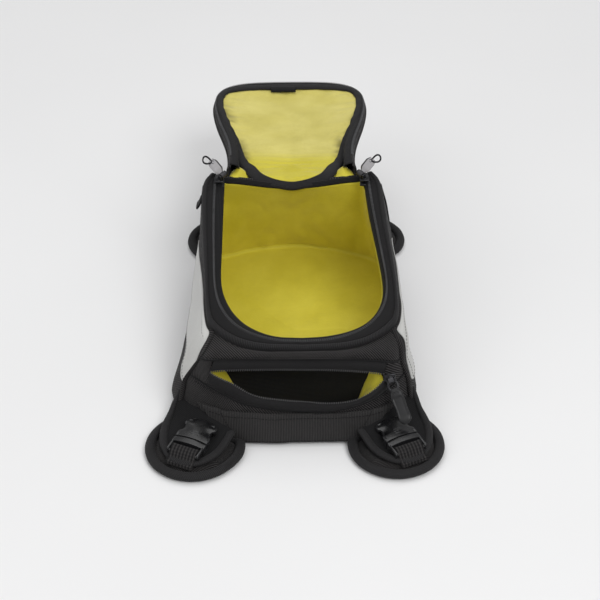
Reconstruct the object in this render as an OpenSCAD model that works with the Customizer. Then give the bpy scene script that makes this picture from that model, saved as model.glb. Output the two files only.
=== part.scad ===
// Soft tank bag with four magnet wings, shown open: the zipped lid lies back
// over the far end and the small pocket on the near end is open.
// Millimetres. X to the right, Y away from the rider, Z up.
// Origin: middle of the base, on the surface that the bag stands on.

/* [Base] */
// Half width of the straight near edge of the base
base_near_half = 62; // [58:1:66]
// Distance from the origin to the near edge of the base
base_near = 160; // [154:1:168]
// Distance from the origin to the far edge of the base
base_far = 138; // [132:1:146]
// Half width of the base at its widest
base_half = 112; // [108:1:116]
// Thickness of the wall laminate
wall_t = 4; // [3.5:0.5:4.5]

/* [Rim and main zip] */
// Distance from the origin to the lid hinge line
hinge_y = 95; // [92:1:98]
// Height of the lid hinge line
hinge_z = 121; // [114:1:128]
// Slope of the rim plane, down towards the near end
rim_slope = 10.7; // [9.5:0.1:12]
// Length of the rim from the hinge line to the near bend of the zip
chain_len = 215.5; // [212:0.5:218]
// Half width of the zip line at its near end
chain_near_half = 78; // [76:0.5:79]
// Half width of the zip line at the hinge
chain_far_half = 73; // [71:0.5:74]
// Radius of the two near corners of the zip line
chain_corner_r = 38; // [32:1:44]

/* [Lid] */
// Droop of the open lid below level
lid_droop = -4.4; // [-6:0.1:0]
// Depth of the lid tray at the hinge
lid_depth = 15.8; // [12:0.2:16]

/* [Pocket] */
// Half width of the pocket mouth
mouth_half = 87; // [84:0.5:88]
// Lower edge of the mouth, measured up the near face
mouth_lo = 40; // [36:0.5:42]
// Upper edge of the mouth, measured up the near face
mouth_hi = 62.5; // [60:0.5:63]
// Place of the pocket slider along the zip
pocket_slider_x = 81; // [70:1:81]

/* [Wings] */
// Radius of the near wings over their binding
near_wing_r = 44; // [42:0.5:46]
// Radius of the far wings over their binding
far_wing_r = 42; // [40:0.5:44]
// Thickness of a wing
wing_t = 7; // [6.5:0.5:7.5]
// Radius of the magnet in a wing
magnet_r = 22; // [18:0.5:24]

/* [Buckles] */
// Width of the webbing through a buckle
strap_w = 24; // [22:0.5:25]
// Outer width of a buckle
buckle_w = 30; // [29:0.5:32]

/* [Hidden] */
$fn = 48;
eps = 0.01;
floor_t = 6;           // base panel and board together
face_tilt = atan(28 / 60);      // lean of the near face
mid_z = 60;            // height of the squarest part of the near corners
mid_half = 90;         // half width of the near face at that height
near_cut = -119;       // panel seam at the near corners
far_cut = 84;          // panel seam at the far corners
divider_y = -118;      // wall between the pocket and the main compartment
black = [0.13, 0.13, 0.14];
dark = [0.2, 0.2, 0.2];
yellow = [0.86, 0.8, 0.3];
grey = [0.78, 0.78, 0.76];
tab_grey = [0.6, 0.6, 0.6];

// ---------- outlines and frames ----------
function both(r) = concat(r, [for (i = [len(r) - 1:-1:0]) [-r[i][0], r[i][1]]]);

module base_outline() polygon(both([[base_near_half, -base_near], [106, -112],
    [base_half, -95], [105, 85], [95, 110], [28, base_far]]));

// the rim's outer outline, in the rim plane, measured from the hinge line
module rim_outline() polygon(both([[58, -225], [82, -196], [86, -118], [86, -22], [77, 0]]));

// the zip line, inset by d
module chain_outline(d) offset(delta = -d) hull() {
    for (s = [-1, 1]) {
        translate([s * (chain_near_half - chain_corner_r), -chain_len + chain_corner_r])
            circle(r = chain_corner_r, $fn = 48);
        translate([s * (chain_far_half - 0.5), 10]) circle(r = 0.5, $fn = 16);
    }
}

module lid_cut(d, y0) intersection() {
    mirror([0, 1]) chain_outline(d);
    translate([-150, y0]) square([300, 300]);
}

module on_rim() translate([0, hinge_y, hinge_z]) rotate([rim_slope, 0, 0]) children();
module on_lid() translate([0, hinge_y, hinge_z]) rotate([lid_droop, 0, 0]) children();
module on_face() translate([0, -base_near, 0]) rotate([-face_tilt, 0, 0]) children();

// right-hand wing frames: x along the hinge, y out from the bag
module on_near_wing() translate([84, -136, 0]) rotate([0, 0, atan2(-44, 48) - 90]) children();
module on_far_wing() translate([61.5, 124, 0]) rotate([0, 0, -atan2(28, 67)]) children();

// ---------- bag body ----------
module outer() hull() {
    linear_extrude(1) base_outline();
    translate([-mid_half, -132, mid_z - 0.5]) cube([2 * mid_half, 12, 1]);
    on_rim() translate([0, 0, -5]) linear_extrude(1) rim_outline();
}

module inner(e) hull() {
    translate([0, 0, floor_t - 1 + 2 * e]) linear_extrude(1) offset(delta = -wall_t - 2 - e) base_outline();
    translate([-mid_half + wall_t + 0.4 + e, -132 + wall_t + 0.6 + e, mid_z - 0.5])
        cube([2 * (mid_half - wall_t - 0.4 - e), 7, 1]);
    on_rim() translate([0, 0, -4.5]) linear_extrude(4) offset(delta = -wall_t - e) rim_outline();
}

module wall() difference() { outer(); inner(0); }
module slab_y(a, b, z0 = floor_t) translate([-200, a, z0]) cube([400, b - a, 300]);
module under_rim(n) on_rim() translate([-200, -300, n - 200]) cube([400, 400, 200]);

module near_wall() difference() {
    intersection() { wall(); slab_y(-300, near_cut); }
    on_face() translate([-mouth_half, -20, mouth_lo]) cube([2 * mouth_half, 40, mouth_hi - mouth_lo]);
}
module above_mouth() on_face() translate([-200, -60, (mouth_lo + mouth_hi) / 2]) cube([400, 300, 300]);

module base_panel() color(black) linear_extrude(3) base_outline();
module base_board() color(dark) translate([0, 0, 3]) linear_extrude(3) offset(delta = -1.5) base_outline();
module near_panel() color(black) intersection() { near_wall(); above_mouth(); }
module pocket_panel() color(black) difference() { near_wall(); above_mouth(); }
module side_panel(s) color(black) intersection() {
    wall();
    slab_y(near_cut, far_cut);
    translate([s > 0 ? 0 : -300, -300, 0]) cube([300, 600, 300]);
}
module left_side_panel() side_panel(-1);
module right_side_panel() side_panel(1);
// the far wall dips in the middle, where the lid folds over it
module dip(e) translate([0, 300, 0]) rotate([90, 0, 0]) linear_extrude(300)
    polygon(both([[62 + e, 200], [60 + e, 116 - e], [50 + e, 109 - e], [30, 104.5 - e]]));
module far_panel() color(black) difference() {
    intersection() { wall(); slab_y(far_cut, 300); }
    dip(3);
}

module pocket_divider() color(black) intersection() {
    inner(0); slab_y(divider_y, divider_y + 2); under_rim(-4.6);
}
module main_lining() color(yellow) union() {
    difference() {
        intersection() {
            difference() { inner(0); inner(1); }
            slab_y(divider_y + 3, 300);
            under_rim(-4.6);
        }
        dip(3);
    }
    intersection() { inner(0); slab_y(divider_y + 2, divider_y + 3); under_rim(-4.6); }
}
module pocket_lining() color(yellow) union() {
    intersection() { inner(0); slab_y(divider_y - 1, divider_y); under_rim(-4.6); }
    intersection() {
        difference() { inner(0); translate([0, 0, floor_t + 1]) linear_extrude(200) square(600, center = true); }
        slab_y(-300, divider_y - 1);
    }
}

// reflective panel: a skin on the side, from the near corner up towards the far end
module grown() hull() {
    linear_extrude(1) offset(delta = 0.9) base_outline();
    translate([-mid_half - 0.9, -132, mid_z - 0.5]) cube([2 * mid_half + 1.8, 12, 1]);
    on_rim() translate([0, 0, -5]) linear_extrude(1) offset(delta = 0.9) rim_outline();
}
module reflective(s) color(grey) intersection() {
    difference() { grown(); outer(); }
    translate([s > 0 ? 0 : -200, 0, 0]) rotate([90, 0, 90])
        linear_extrude(200) polygon([[-114, 38], [-114, 56], [-108, 70], [-75, 79], [-40, 86],
            [-15, 87], [15, 84], [45, 80], [62, 70], [40, 58], [0, 52], [-50, 51], [-80, 50], [-94, 45], [-104, 38]]);
}
module left_reflective_panel() reflective(-1);
module right_reflective_panel() reflective(1);

// the route of the right-hand piping, just off the corner seam
piping_route = [[103, -119.6, 7.5], [103, -119.6, 22], [100.6, -119.6, 40], [94.6, -119.6, 58],
    [92.6, -118, 64.5], [88.6, -113.2, 72], [86, -109, 76.5]];
// a tube of eight sides swept up a route that stays close to upright
module upright_tube(route, r, s) {
    n = len(route);
    polyhedron(
        points = [for (p = route) for (k = [0:7]) [s * (p[0] + r * cos(45 * k)), p[1] + r * sin(45 * k), p[2]]],
        faces = concat(
            [[for (k = [0:7]) s > 0 ? k : 7 - k]],
            [[for (k = [0:7]) 8 * (n - 1) + (s > 0 ? 7 - k : k)]],
            [for (i = [0:n - 2]) for (k = [0:7]) let (a = 8 * i + k, b = 8 * i + (k + 1) % 8)
                s > 0 ? [a, a + 8, b + 8, b] : [b, b + 8, a + 8, a]]));
}
module corner_pipings() color(black) for (s = [-1, 1]) upright_tube(piping_route, 2.1, s);

module rim_zip_tape() color(dark) on_rim() translate([0, 0, -4]) linear_extrude(2) difference() {
    rim_outline(); chain_outline(0);
}
module rim_zip_teeth() color(dark) on_rim() translate([0, 0, -4.2]) linear_extrude(2.4) intersection() {
    difference() { chain_outline(0); chain_outline(2); }
    translate([-150, -300]) square([300, 299]);
}
module far_top_binding() color(dark) intersection() {
    wall();
    slab_y(far_cut + 2, 300);
    difference() { dip(3); dip(0); }
}

module pocket_upper_tape() color(dark) on_face()
    translate([-mouth_half, 1, mouth_hi - 3.5]) cube([2 * mouth_half, 1.5, 3.5]);
module pocket_lower_tape() color(dark) on_face()
    translate([-mouth_half, 1, mouth_lo]) cube([2 * mouth_half, 1.5, 3]);
module pocket_zip_teeth() color(dark) on_face() {
    translate([-mouth_half, 0.6, mouth_hi - 5.5]) cube([2 * mouth_half, 2.3, 2]);
    translate([-mouth_half, 0.6, mouth_lo + 3]) cube([2 * mouth_half, 2.3, 2]);
}
module pocket_zip_garage() color(black) difference() {
    on_face() translate([-86, -1.8, mouth_lo - 3]) cube([11, 2.4, mouth_hi - mouth_lo + 6]);
    outer();
}

module webbing_band() color(dark) difference() {
    on_face() translate([0, -2.8, 0]) rotate([90, 0, 0]) mirror([0, 0, 1])
        linear_extrude(3.2) polygon(both([[56, 3.5], [61, 31]]));
    outer();
    base_board();
}

module side_tag() color(black) difference() {
    translate([-97, 60, 97]) cube([12, 14, 1.6]);
    outer();
}

// ---------- lid, lying open ----------
module lid_floor(z, t, d, y0) translate([0, 0, z]) rotate([atan(12 / 200), 0, 0])
    linear_extrude(t) lid_cut(d, y0);

module lid_shell() color(black) on_lid() difference() {
    hull() {
        translate([0, 0, 1]) linear_extrude(1) lid_cut(11, 6);
        lid_floor(-lid_depth, 1, 15, 8);
    }
    hull() {
        translate([0, 0, 1.5]) linear_extrude(5) lid_cut(14, 9);
        lid_floor(-lid_depth + 3, 1, 18, 11);
    }
}
module lid_lining() color(yellow) on_lid() lid_floor(-lid_depth + 3, 1.2, 18.2, 11.2);
module lid_binding() color(dark) on_lid() difference() {
    lid_floor(-lid_depth + 4.2, 2.6, 19, 12);
    lid_floor(-lid_depth + 3.2, 6, 27, -50);
}
module lid_zip_tape() color(dark) on_lid() translate([0, 0, 2]) linear_extrude(2) difference() {
    lid_cut(7, 22); lid_cut(14, -50);
}
module lid_zip_teeth() color(dark) on_lid() translate([0, 0, 1.8]) linear_extrude(2.4) difference() {
    lid_cut(5, 22); lid_cut(7, -50);
}
module lid_label() color(black) on_lid() translate([0, 0, -lid_depth + 6.82]) rotate([atan(12 / 200), 0, 0])
    translate([-13, 188.5, 0]) cube([26, 8, 1]);

// ---------- main zip sliders and pulls ----------
slider_y = -9;
function chain_x(y) = chain_far_half + (10 - y) * (chain_near_half - chain_far_half)
    / (chain_len - chain_corner_r + 10);
pull_n = 4.2;
module lid_slider() color(dark) on_rim() translate([chain_x(slider_y), slider_y, 0]) difference() {
    union() {
        translate([-9.4, -6, -1.2]) cube([12.4, 12, 2]);
        translate([-8, -6, -7]) cube([7.4, 8.6, 2.2]);
        translate([-4.4, -2, -5.2]) cube([1.8, 4.5, 4.4]);
        // bail: two ears and the pin that carries the pull
        translate([-7, 0, 0]) rotate([0, 0, 39.7]) {
            for (s = [-1, 1]) translate([-2.2, s * 4.2 - 0.7, 0.5]) cube([4.4, 1.4, pull_n + 1.5]);
            translate([0, 0, pull_n]) rotate([90, 0, 0]) cylinder(r = 1.2, h = 8.4, center = true, $fn = 24);
        }
    }
    // room for the closing lid
    translate([-30.5, -20, -10]) cube([20, 40, 30]);
}
module lid_pull() color(tab_grey) on_rim() translate([chain_x(slider_y) - 7, slider_y, pull_n])
    rotate([0, 0, 39.7]) rotate([0, -35, 0]) difference() {
        union() {
            rotate([90, 0, 0]) cylinder(r = 2.7, h = 6, center = true, $fn = 32);
            translate([0, -3, -1.6]) cube([6, 6, 3.2]);
            translate([5, -4.8, -1.8]) cube([13, 9.6, 3.6]);
            translate([21.4, 0, 0]) rotate_extrude($fn = 48) translate([4.2, 0]) circle(r = 0.9, $fn = 16);
        }
        rotate([90, 0, 0]) cylinder(r = 1.55, h = 20, center = true, $fn = 32);
    }
module right_lid_slider() lid_slider();
module left_lid_slider() mirror([1, 0, 0]) lid_slider();
module right_lid_pull() lid_pull();
module left_lid_pull() mirror([1, 0, 0]) lid_pull();

// ---------- pocket slider and pull ----------
module pocket_slider() color(dark) on_face() translate([pocket_slider_x, 0, 0]) union() {
    translate([-5, -2.2, mouth_hi - 9]) cube([10, 2.4, 8.5]);
    translate([-4.5, 3.4, mouth_hi - 9]) cube([9, 1.8, 8.4]);
    translate([-1.2, 0, mouth_hi - 9]) cube([2.4, 4, 3]);
    translate([1, -5.6, mouth_hi - 5.5]) rotate([0, -20, 0]) {
        for (s = [-1, 1]) translate([s * 3.6 - 0.6, -1.8, -1.8]) cube([1.2, 5.4, 3.6]);
        rotate([0, 90, 0]) cylinder(r = 1.1, h = 7.2, center = true, $fn = 24);
    }
}
module pocket_pull() color(black) on_face() translate([pocket_slider_x + 1, -5.6, mouth_hi - 5.5])
    rotate([0, -20, 0]) rotate([-12, 0, 0]) difference() {
        union() {
            rotate([0, 90, 0]) cylinder(r = 2.4, h = 5.2, center = true, $fn = 32);
            translate([-2.2, -1, -9]) cube([4.4, 2, 9]);
            translate([-5, -2, -35]) cube([10, 4, 27]);
            translate([0, 2, -35]) rotate([90, 0, 0]) cylinder(r = 5, h = 4, $fn = 32);
        }
        rotate([0, 90, 0]) cylinder(r = 1.45, h = 20, center = true, $fn = 32);
    }

// ---------- wings ----------
module wing_area(y0) translate([-100, y0, -5]) cube([200, 200, 40]);
module pad(cx, cy, r, y0) color(black) difference() {
    intersection() { translate([cx, cy, 0]) cylinder(r = r - 2.5, h = wing_t, $fn = 96); wing_area(y0); }
    translate([cx, cy, 1.5]) cylinder(r = magnet_r, h = 4, $fn = 64);
}
module pad_binding(cx, cy, r, y0) color(dark) intersection() {
    translate([cx, cy, 0]) difference() {
        cylinder(r = r, h = wing_t, $fn = 96);
        translate([0, 0, -1]) cylinder(r = r - 2.5, h = wing_t + 2, $fn = 96);
    }
    wing_area(y0);
}
module magnet(cx, cy) color([0.4, 0.4, 0.42]) translate([cx, cy, 1.6]) cylinder(r = magnet_r - 0.1, h = 3.8, $fn = 64);

near_cx = 21; near_cy = 23; near_y0 = 4;
far_cx = 0; far_cy = 28; far_y0 = 6.5;
bx = 27;             // buckle centre line along the hinge
by = 39.5;           // distance of the clip's bar from the hinge
buckle_turn = -23;   // the buckle lies askew on the wing
leaf_t = 2.5;
bz = wing_t + leaf_t;      // top of the leaf

module near_leaf() color(black) intersection() {
    translate([near_cx, 17, wing_t]) cylinder(r = 30, h = leaf_t, $fn = 96);
    wing_area(near_y0);
}
module on_buckle() on_near_wing() translate([bx, by, 0]) rotate([0, 0, buckle_turn]) translate([-bx, -44.5, 0]) children();
module near_strap() color(dark) translate([bx - strap_w / 2, 51, wing_t]) cube([strap_w, 8, 2]);
module socket() color(black) difference() {
    translate([bx - buckle_w / 2, 10, bz]) cube([buckle_w, 24, 10]);
    translate([bx - buckle_w / 2 + 2.4, 13, bz + 2]) cube([buckle_w - 4.8, 30, 6]);
    translate([bx - 40, 17, bz + 2]) cube([80, 10, 6]);
}
// clip: ladder frame for the webbing, and the middle tongue
module clip() color(black) difference() {
    union() {
        translate([bx - buckle_w / 2, 35, bz + 1]) cube([buckle_w, 15.5, 8]);
        translate([bx - 2, 18, bz + 2.6]) cube([4, 18, 4.8]);
    }
    for (y = [40.5, 46]) translate([bx - 12.8, y, bz]) cube([25.6, 2.5, 10]);
    translate([bx - 12.8, 42, bz]) cube([25.6, 5, 3]);
    translate([bx - 12.8, 48, bz]) cube([25.6, 5, 3]);
    translate([bx - 12.8, 42, bz + 7]) cube([25.6, 5, 3]);
    for (s = [-1, 1]) {
        translate([bx + s * 8.2, 36.6, bz]) cylinder(r = 2.2, h = 10, $fn = 32);
        translate([bx + s * 8.2 - 2.2, 34, bz]) cube([4.4, 2.6, 10]);
    }
}
module prong(s) color(black) {
    translate([bx + s * 8.2, 36.6, bz + 2.7]) cylinder(r = 1.85, h = 4.6, $fn = 32);
    translate([bx + s * 8.2 - 1.6, 18, bz + 2.7]) cube([3.2, 18.6, 4.6]);
    translate([bx + (s > 0 ? 8.2 : -12.1), 18, bz + 2.7]) cube([3.9, 8, 4.6]);
}
// webbing looped round the bar, with its lower tail
module clip_strap() color(dark) difference() {
    union() {
        translate([bx - strap_w / 2, 41.4, bz + 1.4]) cube([strap_w, 6.2, 7.2]);
        translate([bx - strap_w / 2, 47, bz + 1.4]) cube([strap_w, 3.5, 1.4]);
    }
    translate([bx - 30, 43, bz + 3]) cube([60, 3, 4]);
}

module near_right_wing_pad() on_near_wing() pad(near_cx, near_cy, near_wing_r, near_y0);
module near_right_wing_binding() on_near_wing() pad_binding(near_cx, near_cy, near_wing_r, near_y0);
module near_right_magnet() on_near_wing() magnet(near_cx, near_cy);
module near_right_leaf() on_near_wing() near_leaf();
module near_right_strap() on_buckle() near_strap();
module near_right_socket() on_buckle() socket();
module right_clip() on_buckle() clip();
module right_clip_strap() on_buckle() clip_strap();
module right_clip_inner_prong() on_buckle() prong(1);
module right_clip_outer_prong() on_buckle() prong(-1);
module near_left_wing_pad() mirror([1, 0, 0]) near_right_wing_pad();
module near_left_wing_binding() mirror([1, 0, 0]) near_right_wing_binding();
module near_left_magnet() mirror([1, 0, 0]) near_right_magnet();
module near_left_leaf() mirror([1, 0, 0]) near_right_leaf();
module near_left_strap() mirror([1, 0, 0]) near_right_strap();
module near_left_socket() mirror([1, 0, 0]) near_right_socket();
module left_clip() mirror([1, 0, 0]) right_clip();
module left_clip_strap() mirror([1, 0, 0]) right_clip_strap();
module left_clip_inner_prong() mirror([1, 0, 0]) right_clip_inner_prong();
module left_clip_outer_prong() mirror([1, 0, 0]) right_clip_outer_prong();
module far_right_wing_pad() on_far_wing() pad(far_cx, far_cy, far_wing_r, far_y0);
module far_right_wing_binding() on_far_wing() pad_binding(far_cx, far_cy, far_wing_r, far_y0);
module far_right_magnet() on_far_wing() magnet(far_cx, far_cy);
module far_left_wing_pad() mirror([1, 0, 0]) far_right_wing_pad();
module far_left_wing_binding() mirror([1, 0, 0]) far_right_wing_binding();
module far_left_magnet() mirror([1, 0, 0]) far_right_magnet();

base_panel();
base_board();
near_panel();
pocket_panel();
left_side_panel();
right_side_panel();
far_panel();
pocket_divider();
main_lining();
pocket_lining();
left_reflective_panel();
right_reflective_panel();
corner_pipings();
rim_zip_tape();
rim_zip_teeth();
far_top_binding();
pocket_upper_tape();
pocket_lower_tape();
pocket_zip_teeth();
pocket_zip_garage();
webbing_band();
side_tag();
lid_shell();
lid_lining();
lid_binding();
lid_zip_tape();
lid_zip_teeth();
lid_label();
left_lid_slider();
right_lid_slider();
left_lid_pull();
right_lid_pull();
pocket_slider();
pocket_pull();
near_left_wing_pad();
near_left_wing_binding();
near_left_magnet();
near_left_leaf();
near_left_strap();
near_left_socket();
near_right_wing_pad();
near_right_wing_binding();
near_right_magnet();
near_right_leaf();
near_right_strap();
near_right_socket();
far_left_wing_pad();
far_left_wing_binding();
far_left_magnet();
far_right_wing_pad();
far_right_wing_binding();
far_right_magnet();
left_clip();
left_clip_strap();
left_clip_inner_prong();
left_clip_outer_prong();
right_clip();
right_clip_strap();
right_clip_inner_prong();
right_clip_outer_prong();
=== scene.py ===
import bpy, bmesh, math
import numpy as np
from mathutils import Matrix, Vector, noise


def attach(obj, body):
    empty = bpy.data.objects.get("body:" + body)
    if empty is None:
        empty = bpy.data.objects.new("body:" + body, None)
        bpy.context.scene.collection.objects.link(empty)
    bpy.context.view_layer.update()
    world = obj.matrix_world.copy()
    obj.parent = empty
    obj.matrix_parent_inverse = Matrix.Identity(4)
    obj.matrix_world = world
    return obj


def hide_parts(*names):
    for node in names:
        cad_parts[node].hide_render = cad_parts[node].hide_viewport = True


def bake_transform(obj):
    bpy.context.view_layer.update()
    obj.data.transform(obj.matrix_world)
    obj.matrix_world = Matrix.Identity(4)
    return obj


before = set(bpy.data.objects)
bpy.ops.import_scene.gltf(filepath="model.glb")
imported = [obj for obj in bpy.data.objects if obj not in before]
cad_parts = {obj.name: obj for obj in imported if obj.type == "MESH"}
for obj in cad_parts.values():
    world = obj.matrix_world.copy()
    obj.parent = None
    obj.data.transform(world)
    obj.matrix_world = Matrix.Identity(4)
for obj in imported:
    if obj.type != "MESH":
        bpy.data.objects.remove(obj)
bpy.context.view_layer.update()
scene = bpy.context.scene
MM = 0.001

# ------------------------------------------------------------------ camera
EL, DIST, FOCAL = math.radians(38.0), 1.320, 1364.0      # pixels of a 600 x 600 frame
cam_data = bpy.data.cameras.new("camera")
cam_data.sensor_width = 36.0
cam_data.lens = 36.0 * FOCAL / 600.0
cam_data.clip_end = 50
cam = bpy.data.objects.new("camera", cam_data)
scene.collection.objects.link(cam)
AZ = math.radians(-0.8)
fwd = Vector((-math.sin(AZ) * math.cos(EL), math.cos(AZ) * math.cos(EL), -math.sin(EL)))
right = Vector((math.cos(AZ), math.sin(AZ), 0))
up = right.cross(fwd)
cam.location = -fwd * DIST + right * 0.001
aim = fwd + right * ((300 - 294.5) / FOCAL) + up * ((330 - 300) / FOCAL)
cam.rotation_euler = aim.to_track_quat("-Z", "Y").to_euler()
scene.camera = cam

# ------------------------------------------------------------------ curves and surfaces (millimetres)
C10, S10 = math.cos(math.radians(10.7)), math.sin(math.radians(10.7))
CL, SL = math.cos(math.radians(4.4)), math.sin(math.radians(4.4))
FT = math.atan(28 / 60)
CF, SF = math.cos(FT), math.sin(FT)


def pts(*cols):
    return np.stack(np.broadcast_arrays(*[np.asarray(c, float) for c in cols]), -1)


def rimP(x, y, n):
    x, y, n = (np.asarray(a, float) for a in (x, y, n))
    return pts(x, 95 + y * C10 - n * S10, 121 + y * S10 + n * C10)


def lidP(x, y, n):
    x, y, n = (np.asarray(a, float) for a in (x, y, n))
    return pts(x, 95 + y * CL + n * SL, 121 - y * SL + n * CL)


def faceP(x, y, z):
    x, y, z = (np.asarray(a, float) for a in (x, y, z))
    return pts(x, -160 + CF * y + SF * z, -SF * y + CF * z)


def crom(P, m=12, closed=False):
    P = np.asarray(P, float)
    n = len(P)
    t = (np.arange(m) / m)[:, None]
    out = []
    for i in range(n if closed else n - 1):
        p1, p2 = P[i], P[(i + 1) % n]
        p0 = P[i - 1] if (closed or i > 0) else 2 * p1 - p2
        p3 = P[(i + 2) % n] if (closed or i + 2 < n) else 2 * p2 - p1
        out.append(0.5 * (2 * p1 + (p2 - p0) * t + (2 * p0 - 5 * p1 + 4 * p2 - p3) * t ** 2
                          + (-p0 + 3 * p1 - 3 * p2 + p3) * t ** 3))
    out = np.vstack(out)
    return out if closed else np.vstack([out, P[-1:]])


def resample(P, n, closed=False):
    P = np.asarray(P, float)
    Q = np.vstack([P, P[:1]]) if closed else P
    d = np.r_[0, np.cumsum(np.linalg.norm(np.diff(Q, axis=0), axis=1))]
    t = np.linspace(0, d[-1], n + 1)[:-1] if closed else np.linspace(0, d[-1], n)
    return np.stack([np.interp(t, d, Q[:, k]) for k in range(Q.shape[1])], 1)


def curve(P, n, closed=False):
    return resample(crom(P, 12, closed), n, closed)


def length(P):
    return float(np.linalg.norm(np.diff(P, axis=0), axis=1).sum())


def chaikin(P, times=2):
    P = np.asarray(P, float)
    for _ in range(times):
        Q = np.roll(P, -1, axis=0)
        P = np.stack([0.75 * P + 0.25 * Q, 0.25 * P + 0.75 * Q], 1).reshape(-1, P.shape[1])
    return P


def both(half):
    """A right-hand half outline, from the middle outwards, made whole: left end to right end."""
    half = np.asarray(half, float)
    left = half[::-1].copy()
    left[:, 0] *= -1
    return np.vstack([left[:-1] if abs(half[0, 0]) < 1e-9 else left, half])


def flipx(P):
    P = np.array(P, float)
    P[..., 0] *= -1
    return P


def sstep(a, b, x):
    t = np.clip((np.asarray(x, float) - a) / (b - a), 0, 1)
    return t * t * (3 - 2 * t)


def coons(b, t, l, r):
    """Patch between four edges: bottom and top run left to right, left and right run bottom to top."""
    u = np.linspace(0, 1, len(b))[:, None, None]
    v = np.linspace(0, 1, len(l))[None, :, None]
    S = (1 - v) * b[:, None] + v * t[:, None] + (1 - u) * l[None] + u * r[None]
    return S - ((1 - u) * (1 - v) * b[0] + u * (1 - v) * b[-1] + (1 - u) * v * t[0] + u * v * t[-1])


def normals(S):
    du = np.gradient(S, axis=0)
    dv = np.gradient(S, axis=1)
    n = np.cross(du, dv)
    return n / np.maximum(np.linalg.norm(n, axis=-1, keepdims=True), 1e-9)


def nz(P, freq, seed):
    """Smooth noise at each point, between about -1 and 1."""
    Q = np.asarray(P, float).reshape(-1, 3) * freq + seed
    return np.array([noise.noise(Vector(q)) for q in Q]).reshape(np.shape(P)[:-1])


def rumple(S, amp, freq, seed, edge=0.12, stretch=(1, 1, 1)):
    """Small soft folds, fading out at the sewn edges."""
    nu, nv = S.shape[:2]
    u, v = np.linspace(0, 1, nu), np.linspace(0, 1, nv)
    m = (sstep(0, edge, u) * sstep(0, edge, 1 - u))[:, None] * (sstep(0, edge, v) * sstep(0, edge, 1 - v))[None]
    d = nz(S * np.array(stretch), freq, seed) + 0.45 * nz(S * np.array(stretch), freq * 2.3, seed + 7)
    return S + normals(S) * (amp * m * d)[..., None]


# ------------------------------------------------------------------ meshes
def lean(V):
    """The soft top of the near end leans a little to the right, and the soft sides tuck in below the rim."""
    V = np.array(V, float)
    X, Y, Z = V.T.copy()
    side = sstep(84, 106, np.abs(X)) * (1 - sstep(92, 126, Y))
    m = sstep(-100, -40, Y)
    left = (9.5 + 2.5 * sstep(30, 80, Y)) * (m + (1 - m) * sstep(8, 52, Z)) * sstep(-124, -117, Y)
    right = 6.5 * sstep(-112, -75, Y) * (1 - 0.7 * sstep(20, 90, Y))
    corner = 5.0 * sstep(40, 62, Z) * (1 - sstep(-108, -95, Y)) * sstep(70, 90, -X)
    V[:, 0] += np.where(X < 0, side * left + corner, -side * right)
    V[:, 0] += 7.0 * sstep(56, 82, Z) * (1 - sstep(-90, 85, Y))
    return V


def new_obj(name, V, F, mats, loop_uv=None, fmat=None, smooth=True):
    V = lean(V)
    me = bpy.data.meshes.new(name)
    me.from_pydata((np.asarray(V, float) * MM).tolist(), [], [[int(i) for i in f] for f in F])
    if loop_uv is not None:
        layer = me.uv_layers.new(name="UVMap")
        layer.data.foreach_set("uv", (np.asarray(loop_uv, float) * MM).astype(np.float32).ravel())
    me.polygons.foreach_set("use_smooth", [smooth] * len(me.polygons))
    for m in mats if isinstance(mats, (list, tuple)) else [mats]:
        me.materials.append(m)
    if fmat is not None:
        me.polygons.foreach_set("material_index", np.asarray(fmat, np.int32))
    me.update()
    o = bpy.data.objects.new(name, me)
    scene.collection.objects.link(o)
    return o


def grid_data(S, cu=False, cv=False, away=None, flip=False):
    nu, nv = S.shape[:2]
    if away is not None:
        n = normals(S)
        flip = float((n * (S - np.asarray(away, float))).sum()) < 0
    E = S
    if cu:
        E = np.concatenate([E, E[:1]], 0)
    if cv:
        E = np.concatenate([E, E[:, :1]], 1)
    U = np.zeros(E.shape[:2]); W = np.zeros(E.shape[:2])
    U[1:] = np.cumsum(np.linalg.norm(np.diff(E, axis=0), axis=-1), 0)
    W[:, 1:] = np.cumsum(np.linalg.norm(np.diff(E, axis=1), axis=-1), 1)
    if not cu:
        U = U - U[E.shape[0] // 2][None]      # the weave runs true from the middle outwards
    i, j = np.meshgrid(np.arange(E.shape[0] - 1), np.arange(E.shape[1] - 1), indexing="ij")
    i, j = i.ravel(), j.ravel()
    q = [(i, j), (i + 1, j), (i + 1, j + 1), (i, j + 1)]
    if flip:
        q = q[::-1]
    F = np.stack([(a % nu) * nv + (b % nv) for a, b in q], 1)
    uv = np.stack([np.stack([U[a, b], W[a, b]], -1) for a, b in q], 1).reshape(-1, 2)
    return S.reshape(-1, 3), F, uv


def merge_close(o, dist=2e-5):
    """Closes the middle of a surface whose rows run together there."""
    bm = bmesh.new(); bm.from_mesh(o.data)
    bmesh.ops.remove_doubles(bm, verts=bm.verts, dist=dist)
    bmesh.ops.dissolve_degenerate(bm, edges=bm.edges, dist=1e-6)
    bm.to_mesh(o.data); bm.free()
    return o


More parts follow.
